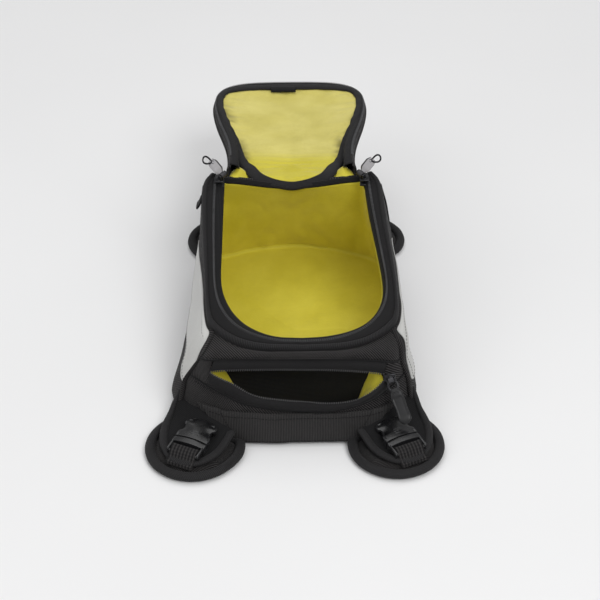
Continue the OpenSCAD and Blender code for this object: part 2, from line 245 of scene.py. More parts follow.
def locate(S, ax, T, iters=14):
    """Points and normals of a surface where two of its coordinates have given values."""
    nu, nv = S.shape[:2]
    A = S[..., list(ax)]
    T = np.asarray(T, float)
    shape = T.shape[:-1]
    T = T.reshape(-1, 2)
    fa = A.reshape(-1, 2)
    k = np.array([int(np.argmin(((fa - q) ** 2).sum(1))) for q in T])
    u, v = (k // nv).astype(float), (k % nv).astype(float)

    def samp(G):
        i = np.clip(np.floor(u).astype(int), 0, nu - 2); j = np.clip(np.floor(v).astype(int), 0, nv - 2)
        a, b = (u - i)[:, None], (v - j)[:, None]
        p = G[i, j] * (1 - a) * (1 - b) + G[i + 1, j] * a * (1 - b) + G[i, j + 1] * (1 - a) * b + G[i + 1, j + 1] * a * b
        return p, (G[i + 1, j] - G[i, j]) * (1 - b) + (G[i + 1, j + 1] - G[i, j + 1]) * b, (G[i, j + 1] - G[i, j]) * (1 - a) + (G[i + 1, j + 1] - G[i + 1, j]) * a

    for _ in range(iters):
        p, du, dv = samp(A)
        e = T - p
        det = du[:, 0] * dv[:, 1] - du[:, 1] * dv[:, 0]
        det = np.where(np.abs(det) < 1e-9, 1e-9, det)
        u = np.clip(u + np.clip((e[:, 0] * dv[:, 1] - e[:, 1] * dv[:, 0]) / det, -1.5, 1.5), -4, nu + 3)
        v = np.clip(v + np.clip((du[:, 0] * e[:, 1] - du[:, 1] * e[:, 0]) / det, -1.5, 1.5), -4, nv + 3)
    P = samp(S)[0]
    N = samp(normals(S))[0]
    N /= np.maximum(np.linalg.norm(N, axis=1, keepdims=True), 1e-9)
    return P.reshape(shape + (3,)), N.reshape(shape + (3,))


def sheet_obj(name, S, mat, thick=0.0, away=None, flip=False, cu=False, cv=False, offset=-1.0, merge=False):
    V, F, uv = grid_data(S, cu, cv, away, flip)
    o = new_obj(name, V, F, mat, uv)
    if merge:
        merge_close(o)
    if thick:
        m = o.modifiers.new("thickness", "SOLIDIFY")
        m.thickness, m.offset = thick * MM, offset
    return o


def flat_uv(o, du, dv, facing=(0, 0, 0)):
    """One weave direction over a flat piece: its cloth is laid out along du and dv."""
    uvl = o.data.uv_layers.active.data
    for f in o.data.polygons:
        if abs(f.normal.dot(facing)) >= 0.8 or not any(facing):
            for li in f.loop_indices:
                c = o.data.vertices[o.data.loops[li].vertex_index].co
                uvl[li].uv = (c.dot(du), c.dot(dv))
    return o


def frames(path, upv, closed=False):
    P = np.asarray(path, float)
    if closed:
        T = np.roll(P, -1, 0) - np.roll(P, 1, 0)
    else:
        T = np.gradient(P, axis=0)
    T /= np.maximum(np.linalg.norm(T, axis=1, keepdims=True), 1e-9)
    U = np.broadcast_to(np.asarray(upv, float), P.shape)
    S = np.cross(T, U)
    S /= np.maximum(np.linalg.norm(S, axis=1, keepdims=True), 1e-9)
    return T, S, np.cross(S, T)


def sweep_data(path, prof, upv=(0, 0, 1), closed=False, closed_prof=True, scale=None):
    """prof is (side, up) along the path."""
    P = np.asarray(path, float)
    _, S, N = frames(P, upv, closed)
    prof = np.asarray(prof, float)
    k = np.ones(len(P)) if scale is None else np.asarray(scale, float)
    G = P[:, None] + (S[:, None] * prof[None, :, :1] + N[:, None] * prof[None, :, 1:]) * k[:, None, None]
    V, F, uv = grid_data(G, closed, closed_prof)
    F = [list(f) for f in F]
    uv = [tuple(a) for a in uv]
    if not closed and closed_prof:
        n = len(prof)
        a, b = list(range(n)), [len(V) - n + i for i in range(n)]
        F += [a[::-1], b]
        for cap in (a[::-1], b):
            uv += [(prof[i % n][0], prof[i % n][1]) for i in cap]
    # centre of the path, which nothing uses
    c = P.mean(0)
    return V, F, uv


def fix_normals(o):
    bm = bmesh.new(); bm.from_mesh(o.data)
    bmesh.ops.recalc_face_normals(bm, faces=bm.faces)
    bm.to_mesh(o.data); bm.free()
    return o


def sweep(name, path, prof, mat, upv=(0, 0, 1), closed=False, closed_prof=True, scale=None):
    V, F, uv = sweep_data(path, prof, upv, closed, closed_prof, scale)
    return fix_normals(new_obj(name, V, F, mat, uv))


def ring(r, n=12, ry=None):
    a = np.arange(n) * 2 * math.pi / n
    return np.stack([r * np.cos(a), (ry or r) * np.sin(a)], 1)


def flat(w, t, n=5):
    """A tape's cross-section: width w, thickness t, rounded edges."""
    a = np.linspace(-math.pi / 2, math.pi / 2, n)
    rt = np.stack([w / 2 - t / 2 + t / 2 * np.cos(a), t / 2 * np.sin(a)], 1)
    return np.vstack([rt, -rt])


def tube(name, path, r, mat, n=12, closed=False, upv=(0.13, 0.21, 0.97), scale=None, ry=None):
    return sweep(name, path, ring(r, n, ry), mat, upv, closed, True, scale)


class Parts:
    """Several closed shapes gathered into one mesh."""
    def __init__(s):
        s.V, s.F, s.M, s.uv, s.n = [], [], [], [], 0

    def add(s, V, F, m=0, uv=None):
        V = np.asarray(V, float)
        s.V.append(V)
        for f in F:
            s.F.append([int(i) + s.n for i in f]); s.M.append(m)
        s.uv += [tuple(a) for a in uv] if uv is not None else [(0.0, 0.0)] * sum(len(f) for f in F)
        s.n += len(V)
        return s

    def obj(s, name, mats):
        o = new_obj(name, np.vstack(s.V), s.F, mats, s.uv, s.M)
        o.data.set_sharp_from_angle(angle=math.radians(44))
        return o


def rbox(size, r=0.6, seg=2, centre=(0, 0, 0), taper=None):
    """A block with rounded edges, as vertices and faces."""
    bm = bmesh.new()
    bmesh.ops.create_cube(bm, size=1)
    for v in bm.verts:
        v.co = Vector((v.co.x * size[0], v.co.y * size[1], v.co.z * size[2]))
    r = min(r, 0.49 * min(size))
    bmesh.ops.bevel(bm, geom=list(bm.edges), offset=r, segments=seg, profile=0.5, affect="EDGES")
    bmesh.ops.recalc_face_normals(bm, faces=bm.faces)
    bm.verts.index_update()
    V = np.array([v.co[:] for v in bm.verts], float)
    F = [[v.index for v in f.verts] for f in bm.faces]
    bm.free()
    if taper:
        V = taper(V)
    return V + np.asarray(centre, float), F


def dashes(centres, dirs, nrm, L, r, flatten=1.0, sides=6):
    """Many short rounded bars, each along its own direction."""
    c = np.asarray(centres, float); d = np.asarray(dirs, float); n = np.broadcast_to(np.asarray(nrm, float), c.shape)
    d = d / np.linalg.norm(d, axis=1, keepdims=True)
    s = np.cross(n, d); s /= np.maximum(np.linalg.norm(s, axis=1, keepdims=True), 1e-9)
    n = np.cross(d, s)
    st = [(-0.5, 0.35), (-0.36, 0.95), (0.36, 0.95), (0.5, 0.35)]
    a = np.arange(sides) * 2 * math.pi / sides
    T = np.array([[x * L, k * r * math.cos(t), k * r * math.sin(t) * flatten] for x, k in st for t in a])
    V = (c[:, None] + d[:, None] * T[None, :, :1] + s[:, None] * T[None, :, 1:2] + n[:, None] * T[None, :, 2:]).reshape(-1, 3)
    f = []
    for k in range(3):
        for i in range(sides):
            j = (i + 1) % sides
            f.append([k * sides + i, k * sides + j, (k + 1) * sides + j, (k + 1) * sides + i])
    f += [list(range(sides))[::-1], [3 * sides + i for i in range(sides)]]
    m = len(T)
    F = [[i + m * q for i in g] for q in range(len(c)) for g in f]
    return V, F


def along(path, pitch):
    """Points at a pitch along a path, with directions."""
    n = max(2, int(round(length(path) / pitch)))
    Q = resample(path, 2 * n + 1)
    P = Q[1::2]
    return P, Q[2::2] - Q[0:-1:2]


def stitches(name, path, nrm, mat, pitch=3.4, L=2.3, r=0.33, lift=0.1):
    P, D = along(path, pitch)
    n = np.broadcast_to(np.asarray(nrm, float), P.shape)
    V, F = dashes(P + n * lift, D, n, L, r, 0.8)
    return new_obj(name, V, F, mat)


# ------------------------------------------------------------------ materials
def srgb(r, g=None, b=None):
    g, b = (r if g is None else g), (r if b is None else b)
    f = lambda c: c / 255 / 12.92 if c <= 10 else ((c / 255 + 0.055) / 1.055) ** 2.4
    return (f(r), f(g), f(b), 1)


class Mat:
    def __init__(s, name):
        s.m = bpy.data.materials.new(name)
        s.m.use_nodes = True
        s.nt = s.m.node_tree
        s.nt.nodes.clear()
        s.b = s.n("ShaderNodeBsdfPrincipled")
        out = s.n("ShaderNodeOutputMaterial")
        s.l(s.b.outputs[0], out.inputs[0])
        s.tc = s.n("ShaderNodeTexCoord")

    def n(s, kind, **kw):
        x = s.nt.nodes.new(kind)
        for k, v in kw.items():
            setattr(x, k, v)
        return x

    def l(s, a, b):
        s.nt.links.new(a, b)

    def set(s, **kw):
        for k, v in kw.items():
            s.b.inputs[k.replace("_", " ")].default_value = v
        return s

    def wave(s, coord, direction, period, distort=0.3, detail=1.0, profile="SIN"):
        """Bands with a period in metres."""
        w = s.n("ShaderNodeTexWave", wave_type="BANDS", bands_direction=direction, wave_profile=profile)
        s.l(s.tc.outputs[coord], w.inputs["Vector"])
        w.inputs["Scale"].default_value = (0.62832 if direction == "DIAGONAL" else 0.314159) / period
        w.inputs["Distortion"].default_value = distort
        w.inputs["Detail"].default_value = detail
        w.inputs["Detail Scale"].default_value = 1.5
        return w.outputs["Fac"]

    def noise(s, coord, scale, detail=3.0, rough=0.55):
        t = s.n("ShaderNodeTexNoise")
        s.l(s.tc.outputs[coord], t.inputs["Vector"])
        t.inputs["Scale"].default_value = scale
        t.inputs["Detail"].default_value = detail
        t.inputs["Roughness"].default_value = rough
        return t.outputs["Fac"]

    def math(s, op, a, b):
        x = s.n("ShaderNodeMath", operation=op)
        for i, v in enumerate((a, b)):
            if isinstance(v, (int, float)):
                x.inputs[i].default_value = v
            else:
                s.l(v, x.inputs[i])
        return x.outputs[0]

    def ramp(s, fac, stops):
        r = s.n("ShaderNodeValToRGB")
        s.l(fac, r.inputs[0])
        e = r.color_ramp.elements
        while len(e) < len(stops):
            e.new(0.5)
        for q, (p, c) in zip(e, stops):
            q.position, q.color = p, c
        return r.outputs[0]

    def mix(s, fac, a, b, mode="MIX"):
        x = s.n("ShaderNodeMix", data_type="RGBA", blend_type=mode)
        if isinstance(fac, (int, float)):
            x.inputs[0].default_value = fac
        else:
            s.l(fac, x.inputs[0])
        for i, v in ((6, a), (7, b)):
            if isinstance(v, tuple):
                x.inputs[i].default_value = v
            else:
                s.l(v, x.inputs[i])
        return x.outputs[2]

    def bump(s, height, strength, dist, after=None):
        b = s.n("ShaderNodeBump")
        b.inputs["Strength"].default_value = strength
        b.inputs["Distance"].default_value = dist
        s.l(height, b.inputs["Height"])
        if after is not None:
            s.l(after, b.inputs["Normal"])
        return b.outputs[0]

    def finish(s, colour, normal, rough=None):
        s.l(colour, s.b.inputs["Base Color"])
        s.l(normal, s.b.inputs["Normal"])
        if rough is not None:
            s.l(rough, s.b.inputs["Roughness"])
        return s.m


def fabric(name, lo, hi, rib, direction="DIAGONAL", thread=0.0008, rough=(0.68, 0.88), sheen=0.05, bump=0.55,
           depth=0.0007, mottle=0.35, tint=None, stops=(0.12, 0.55, 0.95)):
    """Woven cloth: ribs, finer threads across them, uneven dye, and painted highlight on the rib crests with painted
    shade in the grooves.
    """
    m = Mat(name)
    r = m.wave("UV", direction, rib, 0.5, 1.0)
    t = m.wave("UV", "X" if direction != "X" else "Y", thread, 0.4, 0.5)
    h = m.math("ADD", m.math("MULTIPLY", r, 0.72), m.math("MULTIPLY", t, 0.28))
    big = m.noise("Object", 22, 4.0, 0.6)
    fine = m.noise("Object", 900, 2.0, 0.5)
    k = m.math("ADD", h, m.math("MULTIPLY", m.math("SUBTRACT", big, 0.5), mottle))
    k = m.math("ADD", k, m.math("MULTIPLY", m.math("SUBTRACT", fine, 0.5), 0.35))
    # the rib height drives the colour: crests painted lighter and grooves darker, a painted highlight and shade on the
    # weave
    col = m.ramp(k, [(stops[0], lo), (stops[1], tint or tuple((a + b) / 2 for a, b in zip(lo, hi))), (stops[2], hi)])
    nrm = m.bump(h, bump, depth, m.bump(fine, 0.25, 0.0003))
    ro = m.ramp(big, [(0.3, (rough[0],) * 3 + (1,)), (0.75, (rough[1],) * 3 + (1,))])
    m.set(Sheen_Weight=sheen, Sheen_Roughness=0.45, Specular_IOR_Level=0.2)
    return m.finish(col, nrm, ro)


def rubber(name, lo, hi, rough=(0.42, 0.6), grain=1500, bump=0.2, coat=0.0, metal=0.0, spec=0.5, wear=None):
    """Moulded or painted surface: fine grain, handling marks, paler edges."""
    m = Mat(name)
    g = m.noise("Object", grain, 3.0, 0.6)
    big = m.noise("Object", 60, 4.0, 0.65)
    col = m.ramp(m.math("ADD", m.math("MULTIPLY", g, 0.4), m.math("MULTIPLY", big, 0.6)), [(0.3, lo), (0.72, hi)])
    if wear:
        geo = m.n("ShaderNodeNewGeometry")
        edge = m.ramp(geo.outputs["Pointiness"], [(0.52, (0, 0, 0, 1)), (0.62, (1, 1, 1, 1))])
        col = m.mix(m.math("MULTIPLY", edge, 0.6), col, wear)
    nrm = m.bump(g, bump, 0.00025)
    ro = m.ramp(big, [(0.3, (rough[0],) * 3 + (1,)), (0.75, (rough[1],) * 3 + (1,))])
    m.set(Metallic=metal, Coat_Weight=coat, Coat_Roughness=0.2, Specular_IOR_Level=spec)
    return m.finish(col, nrm, ro)


def yellow_lining(name):
    m = Mat(name)
    a = m.wave("UV", "X", 0.0011, 0.5, 1.0)
    b = m.wave("UV", "Y", 0.0011, 0.5, 1.0)
    h = m.math("MULTIPLY", m.math("ADD", a, b), 0.5)
    big = m.noise("Object", 30, 4.0, 0.6)
    fine = m.noise("Object", 700, 2.0, 0.6)
    # painted highlight: the per-point attribute read here switches the lining to the paler ramp, a painted sheen on the
    # part of the lid lining away from the hinge
    at = m.n("ShaderNodeAttribute", attribute_name="painted_sheen")
    k = m.math("ADD", m.math("MULTIPLY", h, 0.45), m.math("MULTIPLY", big, 0.55))
    strong = m.ramp(k, [(0.2, srgb(190, 176, 34)), (0.55, srgb(221, 208, 58)), (0.9, srgb(236, 225, 92))])
    pale = m.ramp(k, [(0.26, srgb(192, 179, 74)), (0.55, srgb(222, 210, 112)), (0.8, srgb(240, 230, 148))])
    col = m.mix(at.outputs["Fac"], strong, pale)
    col = m.mix(m.math("MULTIPLY", m.math("SUBTRACT", 1.0, fine), 0.22), col, srgb(150, 136, 30))
    # painted shade: patches along the lining's sewn edges are darkened towards a dull olive, as shade under the raised
    # binding
    edge_shade_node = m.n("ShaderNodeAttribute", attribute_name="painted_edge_shade")
    col = m.mix(m.math("MULTIPLY", edge_shade_node.outputs["Fac"], 0.8), col, srgb(104, 94, 24))
    nrm = m.bump(h, 0.4, 0.0004, m.bump(fine, 0.2, 0.0003))
    ro = m.ramp(big, [(0.3, (0.5,) * 3 + (1,)), (0.75, (0.68,) * 3 + (1,))])
    m.set(Sheen_Weight=0.25, Sheen_Roughness=0.4, Specular_IOR_Level=0.4)
    return m.finish(col, nrm, ro)


def webbing_mat(name, lo, hi, rib, cell):
    """Woven strap: ribs with short crossing threads that step from rib to rib."""
    m = Mat(name)
    r = m.wave("UV", "X", rib, 0.1, 0.5)
    c = m.wave("UV", "Y", cell, 0.3, 0.5)
    h = m.math("ADD", m.math("MULTIPLY", r, 0.74), m.math("MULTIPLY", c, 0.26))
    big = m.noise("Object", 26, 4.0, 0.6)
    fine = m.noise("Object", 1000, 2.0, 0.6)
    k = m.math("ADD", h, m.math("MULTIPLY", m.math("SUBTRACT", big, 0.5), 0.45))
    k = m.math("ADD", k, m.math("MULTIPLY", m.math("SUBTRACT", fine, 0.5), 0.3))
    col = m.ramp(k, [(0.15, lo), (0.9, hi)])
    nrm = m.bump(h, 0.8, 0.0009, m.bump(fine, 0.3, 0.0003))
    ro = m.ramp(big, [(0.3, (0.6,) * 3 + (1,)), (0.75, (0.82,) * 3 + (1,))])
    m.set(Sheen_Weight=0.05, Sheen_Roughness=0.5, Specular_IOR_Level=0.2)
    return m.finish(col, nrm, ro)


def reflective_mat(name):
    m = Mat(name)
    v = m.n("ShaderNodeTexVoronoi", feature="DISTANCE_TO_EDGE")
    m.l(m.tc.outputs["UV"], v.inputs["Vector"])
    v.inputs["Scale"].default_value = 560
    v.inputs["Randomness"].default_value = 0.15
    cell = m.ramp(v.outputs["Distance"], [(0.02, (0, 0, 0, 1)), (0.12, (1, 1, 1, 1))])
    big = m.noise("Object", 18, 4.0, 0.6)
    fine = m.noise("Object", 600, 3.0, 0.6)
    base = m.ramp(m.math("ADD", m.math("MULTIPLY", big, 0.7), m.math("MULTIPLY", fine, 0.3)),
                  [(0.25, srgb(176, 176, 173)), (0.75, srgb(203, 203, 200))])
    col = m.mix(m.math("MULTIPLY", m.math("SUBTRACT", 1.0, cell), 0.35), base, srgb(160, 160, 158))
    nrm = m.bump(cell, 0.25, 0.0003, m.bump(fine, 0.15, 0.0003))
    ro = m.ramp(big, [(0.3, (0.38,) * 3 + (1,)), (0.75, (0.52,) * 3 + (1,))])
    m.set(Specular_IOR_Level=0.5, Sheen_Weight=0.1)
    return m.finish(col, nrm, ro)


SHELL = fabric("shell_fabric", srgb(6, 6, 7), srgb(74, 71, 71), 0.0024, "DIAGONAL", 0.0008, bump=0.9, stops=(0.3, 0.58, 0.88), tint=srgb(33, 32, 32))
PLAIN = fabric("plain_fabric", srgb(7, 7, 8), srgb(31, 31, 32), 0.0014, "Y", 0.0011, mottle=0.3, bump=0.4)
TAPE = fabric("trim_tape", srgb(13, 13, 14), srgb(52, 51, 52), 0.0016, "X", 0.0012, mottle=0.3, bump=0.45, depth=0.0005)
ZTAPE = fabric("zip_tape", srgb(9, 9, 10), srgb(36, 35, 36), 0.0012, "DIAGONAL", 0.0010, mottle=0.3, bump=0.4, depth=0.0004)
LINING = yellow_lining("lining")
REFLECT = reflective_mat("reflective")
WEBBING = webbing_mat("webbing", srgb(22, 22, 22), srgb(63, 61, 61), 0.0014, 0.0012)
STRAP = webbing_mat("strap_webbing", srgb(6, 6, 7), srgb(50, 48, 48), 0.0030, 0.0026)
TEETH = rubber("zip_teeth", srgb(40, 40, 42), srgb(74, 74, 76), (0.3, 0.45), 900, 0.1)
# a paler copy of the zip teeth, painted highlight for the pocket's upward-facing lower row
TEETH_PALE = rubber("zip_teeth_painted_highlight", srgb(44, 44, 46), srgb(80, 80, 80), (0.28, 0.42), 900, 0.1)
METAL = rubber("slider_metal", srgb(16, 16, 17), srgb(34, 34, 36), (0.26, 0.42), 1200, 0.08, metal=0.5, wear=srgb(84, 84, 88))
PGREY = rubber("pull_grey", srgb(146, 144, 147), srgb(172, 170, 172), (0.5, 0.65), 1300, 0.2)
PDARK = rubber("pull_dark_grey", srgb(40, 39, 42), srgb(62, 61, 64), (0.45, 0.6), 1300, 0.2)
PBLACK = rubber("pull_black", srgb(10, 10, 11), srgb(24, 24, 26), (0.4, 0.58), 1300, 0.2)
BUCKLE = rubber("buckle", srgb(5, 5, 6), srgb(15, 15, 17), (0.2, 0.34), 1600, 0.1, coat=0.25, wear=srgb(60, 60, 62))
BOARD = rubber("board", srgb(60, 58, 56), srgb(84, 82, 80), (0.7, 0.85), 500, 0.2)
MAGNET = rubber("magnet", srgb(84, 84, 88), srgb(120, 120, 124), (0.35, 0.5), 800, 0.1, metal=0.8)
THREAD = fabric("thread", srgb(24, 23, 24), srgb(66, 64, 64), 0.0006, "X", 0.0005, bump=0.3, depth=0.0002)
CORD = fabric("loop_cord", srgb(14, 14, 16), srgb(48, 48, 52), 0.0009, "DIAGONAL", 0.0007, bump=0.5, depth=0.0003)
GRIP = rubber("base_grip", srgb(10, 10, 11), srgb(30, 30, 31), (0.7, 0.9), 420, 0.5)

BAG = "bag"


def put(o, body, slot, *nodes):
    if body:
        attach(o, body)
    if nodes:
        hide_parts(*nodes)
    return o


# ------------------------------------------------------------------ outlines
BASE = np.array([(62, -160), (106, -112), (112, -95), (105, 85), (95, 110), (28, 138),
                 (-28, 138), (-95, 110), (-105, 85), (-112, -95), (-106, -112), (-62, -160)], float)
base_loop = resample(chaikin(BASE, 3), 240, True)

# outer edge of the rim and the zip line, in the rim plane, from the middle of the near side to the right far end
RO = crom([(0, -223.4), (32, -221.6), (52, -216.6), (66.6, -208), (77.5, -197.5), (83, -187), (85.5, -165), (86.5, -120),
           (86.5, -60), (86, -25), (83.4, -9), (78, 1)], 16)
CH = crom([(0, -215.3), (22, -213.6), (40, -208.2), (55, -199.2), (66.2, -186.6), (73.2, -172), (76.8, -156), (78, -135),
           (77.2, -95), (75.8, -45), (74.4, 0)], 16)
k_corner = int(np.argmin(np.abs(RO[:, 1] + 197.5) + (RO[:, 0] < 60) * 1e3))
k_far = int(np.argmin(np.abs(RO[:, 1] + 11.5)))


def edge_top(seg, n=-7.0):
    return rimP(seg[:, 0] * 1.012, seg[:, 1] * 1.004, n)


corner_top = edge_top(RO[k_corner:k_corner + 1])[0]
far_top = edge_top(RO[k_far:k_far + 1])[0]

# right-hand near corner seam, from the base up to the rim
S_NEAR = crom([(101.5, -117.5, 1.0), (101.6, -118.6, 12), (100.4, -119.3, 24), (97.8, -119.5, 40), (92.4, -119.2, 57),
               (89.0, -116.6, 65.5), (84.8, -111.6, 72.4), corner_top], 16)
# right-hand far corner seam
S_FAR = crom([(104.6, 84, 1.0), (103.2, 84, 20), (100.0, 84, 45), (95.8, 84, 70), (91.2, 84, 92), (86.8, 84, 106), far_top], 16)


def seam_at(z):
    i = int(np.argmin(np.abs(S_NEAR[:, 2] - z)))
    return i


# ------------------------------------------------------------------ base
def base_piece():
    c = np.array([0, -11.0])
    rings = []
    for k, z in ((0.0, 0.7), (0.3, 0.7), (0.6, 0.7), (0.85, 0.6), (0.94, 0.45), (0.972, 0.2), (0.992, 0.7), (1.0, 2.2),
                 (1.003, 4.2), (1.0, 6.0), (0.985, 7.2), (0.96, 7.6)):
        xy = c + (base_loop - c) * k
        rings.append(np.column_stack([xy, np.full(len(xy), z)]))
    S = np.stack(rings, 1)
    return S


o = sheet_obj("base_panel", base_piece(), [GRIP], 0, away=(0, -11, 4), cu=True, merge=True)
put(o, BAG, "shell_fabric", "base_panel")
bl = resample(chaikin(BASE * 0.965, 2), 120, True)
S = np.stack([np.column_stack([bl * k + (0, -11 * (1 - k)), np.full(len(bl), z)]) for k, z in
              ((0.0, 3.2), (0.6, 3.2), (0.985, 3.2), (1.0, 3.6), (1.0, 5.2), (0.985, 5.7), (0.6, 5.7), (0.0, 5.7))], 1)
o = sheet_obj("base_board", S, [BOARD], 0, away=(0, -11, 4.4), cu=True, merge=True)
put(o, BAG, "board", "base_board")

# ------------------------------------------------------------------ sides
NS, NV = 90, 44
base_right = crom([(101.5, -117.5), (106.2, -111.2), (110.4, -100), (111.3, -88), (108.6, -20), (106.4, 40), (104.6, 84)], 12)
side_bot = resample(np.column_stack([base_right, np.full(len(base_right), 1.0)]), NS)
side_top = resample(edge_top(RO[k_corner:k_far + 1]), NS)
SIDE = coons(side_bot, side_top, resample(S_NEAR, NV), resample(S_FAR, NV))
SIDE[0, :] = resample(S_NEAR, NV); SIDE[-1, :] = resample(S_FAR, NV)


def side_surface(s):
    R = SIDE.copy()
    # the cloth hangs a little slack between the sewn edges, and swells low down
    u = np.linspace(0, 1, NS)[:, None]; v = np.linspace(0, 1, NV)[None]
    nrm = normals(R)
    if (nrm[..., 0].mean()) < 0:
        nrm = -nrm
    swell = 1.8 * np.sin(math.pi * u) ** 0.7 * np.sin(math.pi * np.clip(v * 1.15, 0, 1))
    R = R + nrm * swell[..., None]
    if s < 0:
        R = flipx(R)
    R = rumple(R, 1.7, 0.021, 3.1 if s > 0 else 11.7, 0.1)
    return R


SIDES = {}
for s, nm in ((-1, "left"), (1, "right")):
    R = side_surface(s)
    SIDES[s] = R
    o = sheet_obj(f"{nm}_side_panel", R, [SHELL], 2.4, away=(0, 0, 40))
    put(o, BAG, "shell_fabric", f"{nm}_side_panel")


def outward(R, s):
    n = normals(R)
    return n if (n[..., 0] * s).sum() > 0 else -n


# reflective patch: the part of the side inside a soft outline, laid on it
PATCH = crom([(-115.5, 34), (-115.5, 50), (-111, 64), (-104, 74.5), (-88, 78.5), (-64, 81), (-38, 82.5), (-15, 82.5), (15, 79.5), (42, 74.5),
              (55, 68), (45, 60.5), (20, 55), (-10, 52), (-50, 51.5), (-76, 51), (-90, 46), (-98, 38.5), (-107, 32.5)], 8, True)


def patch_piece(s):
    """Rows of the patch between its outline's near and far ends, laid on the side."""
    ys = np.linspace(PATCH[:, 0].min() + 0.4, PATCH[:, 0].max() - 0.4, 110)
    rows = []
    P = np.vstack([PATCH, PATCH[:1]])
    for y in ys:
        zs = []
        for a, b in zip(P[:-1], P[1:]):
            if (a[0] - y) * (b[0] - y) <= 0 and abs(a[0] - b[0]) > 1e-9:
                zs.append(a[1] + (b[1] - a[1]) * (y - a[0]) / (b[0] - a[0]))
        lo, hi = min(zs), max(zs)
        rows.append(np.column_stack([np.full(15, y), np.linspace(lo, max(hi, lo + 0.3), 15)]))
    Q, N = locate(SIDES[s], (1, 2), np.stack(rows))
    if (N[..., 0] * s).sum() < 0:
        N = -N
    return Q + N * 0.75


for s, nm in ((-1, "left"), (1, "right")):
    Q = patch_piece(s)
    o = sheet_obj(f"{nm}_reflective_panel", Q, [REFLECT], 1.2, away=(0, 0, 40), offset=-0.6)
    put(o, BAG, "reflective", f"{nm}_reflective_panel")
    nn = outward(Q, s)
    loop = np.vstack([Q[2:-2, 1], Q[-3, 1:-1], Q[2:-2, -2][::-1], Q[2, 1:-1][::-1]])
    ln = np.vstack([nn[2:-2, 1], nn[-3, 1:-1], nn[2:-2, -2][::-1], nn[2, 1:-1][::-1]])
    P, D = along(np.column_stack([loop, ln]), 3.2)
    V, F = dashes(P[:, :3] + P[:, 3:] * 0.25, D[:, :3], P[:, 3:], 2.1, 0.3, 0.8)
    put(new_obj(f"{nm}_patch_stitching", V, F, THREAD), BAG, "reflective")

# corner pipings, cloth-covered cord sewn in the near seams
pp = Parts()
for s in (-1, 1):
    path = resample(S_NEAR, 60).copy()
    path[:, 0] += 1.3; path[:, 1] -= 0.9
    if s < 0:
        path = flipx(path)
    V, F, uv = sweep_data(path, ring(2.3, 14), (0.1, 1, 0.3))
    pp.add(V, F, 0, uv)
o = fix_normals(pp.obj("corner_pipings", [SHELL]))
put(o, BAG, "shell_fabric", "corner_pipings")

# ------------------------------------------------------------------ near side
NN = 120
near_rim = edge_top(both(RO[:k_corner + 1]))
i64 = seam_at(63.5)
i_t = seam_at(47.0)
seamL = flipx(S_NEAR)
D_curve = crom([seamL[i64], (-88.4, -122.6, 66.0), (-83, -127.6, 68.3), (-70, -129.3, 69.5), (-30, -130.2, 69.9), (0, -130.4, 69.8), (30, -130.4, 69.4),
                (64, -130.6, 67.8), (80, -129.4, 65.0), (87.6, -125.2, 62.4), S_NEAR[seam_at(60.5)]], 14)
i60 = seam_at(60.5)
NEAR = coons(resample(D_curve, NN), resample(near_rim, NN), resample(seamL[i64:], 20), resample(S_NEAR[i60:], 20))
nrm_ = normals(NEAR)
nrm_ = nrm_ if nrm_[..., 2].mean() > 0 else -nrm_
u_ = np.linspace(0, 1, NN)[:, None]; v_ = np.linspace(0, 1, 20)[None]
NEAR = NEAR + nrm_ * (2.2 * np.sin(math.pi * u_) ** 0.5 * np.sin(math.pi * v_))[..., None]
NEAR = rumple(NEAR, 0.9, 0.03, 5.0, 0.12)
o = sheet_obj("near_panel", NEAR, [SHELL], 2.2, away=(0, -60, 20))
flat_uv(o, Vector((1, 0, 0)), Vector((0, 0.7, 0.72)))
put(o, BAG, "shell_fabric", "near_panel")

# lower near panel: from the base up to the sewn edge of the lower zip tape
T_curve = crom([seamL[i_t], (-90, -126.8, 48.6), (-80, -133.0, 46.2), (-62, -141.2, 40.0), (-46, -147.0, 34.8), (-22, -151.2, 31.6), (0, -152.6, 30.2), (28, -152.8, 29.8),
                (52, -149.8, 33.0), (70, -143.4, 37.0), (82, -135.0, 41.0), (91.5, -126.0, 44.0), S_NEAR[seam_at(46)]], 14)
base_near = crom([(-101.5, -117.5, 1), (-84, -136.4, 1), (-66, -155.8, 1), (-58, -159.2, 1), (-30, -160.2, 1), (0, -160.4, 1), (30, -160.2, 1),
                  (58, -159.2, 1), (66, -155.8, 1), (84, -136.4, 1), (101.5, -117.5, 1)], 14)
POCKET = coons(resample(base_near, NN), resample(T_curve, NN), resample(seamL[:i_t + 1], 30), resample(S_NEAR[:seam_at(46) + 1], 30))
POCKET = rumple(POCKET, 1.6, 0.026, 23.0, 0.1)
o = sheet_obj("pocket_panel", POCKET, [SHELL], 2.0, away=(0, -100, 20))
put(o, BAG, "shell_fabric", "pocket_panel")

# zip mouth: upper tape hangs from the seam, the lower lip sags outwards
M_up = crom([(-75.5, -132.8, 59.6), (-62, -133.6, 61.4), (-30, -134.2, 62.3), (0, -134.4, 62.1), (36, -134.6, 61.0), (62, -134.9, 58.7), (77, -135.1, 56.4)], 16)
L_low = crom([(-75.0, -134.0, 58.6), (-66, -138.4, 56.2), (-54, -142.4, 52.4), (-40, -146.8, 45.0), (-25, -149.6, 42.0), (6, -151.4, 39.2), (31, -151.8, 37.4),
              (50, -150.2, 38.8), (62, -146.4, 42.2), (71, -141.6, 47.0), (77, -137.4, 52.0)], 16)


def part_of(C, x0, x1, n):
    m = (C[:, 0] >= x0) & (C[:, 0] <= x1)
    return resample(C[m], n)


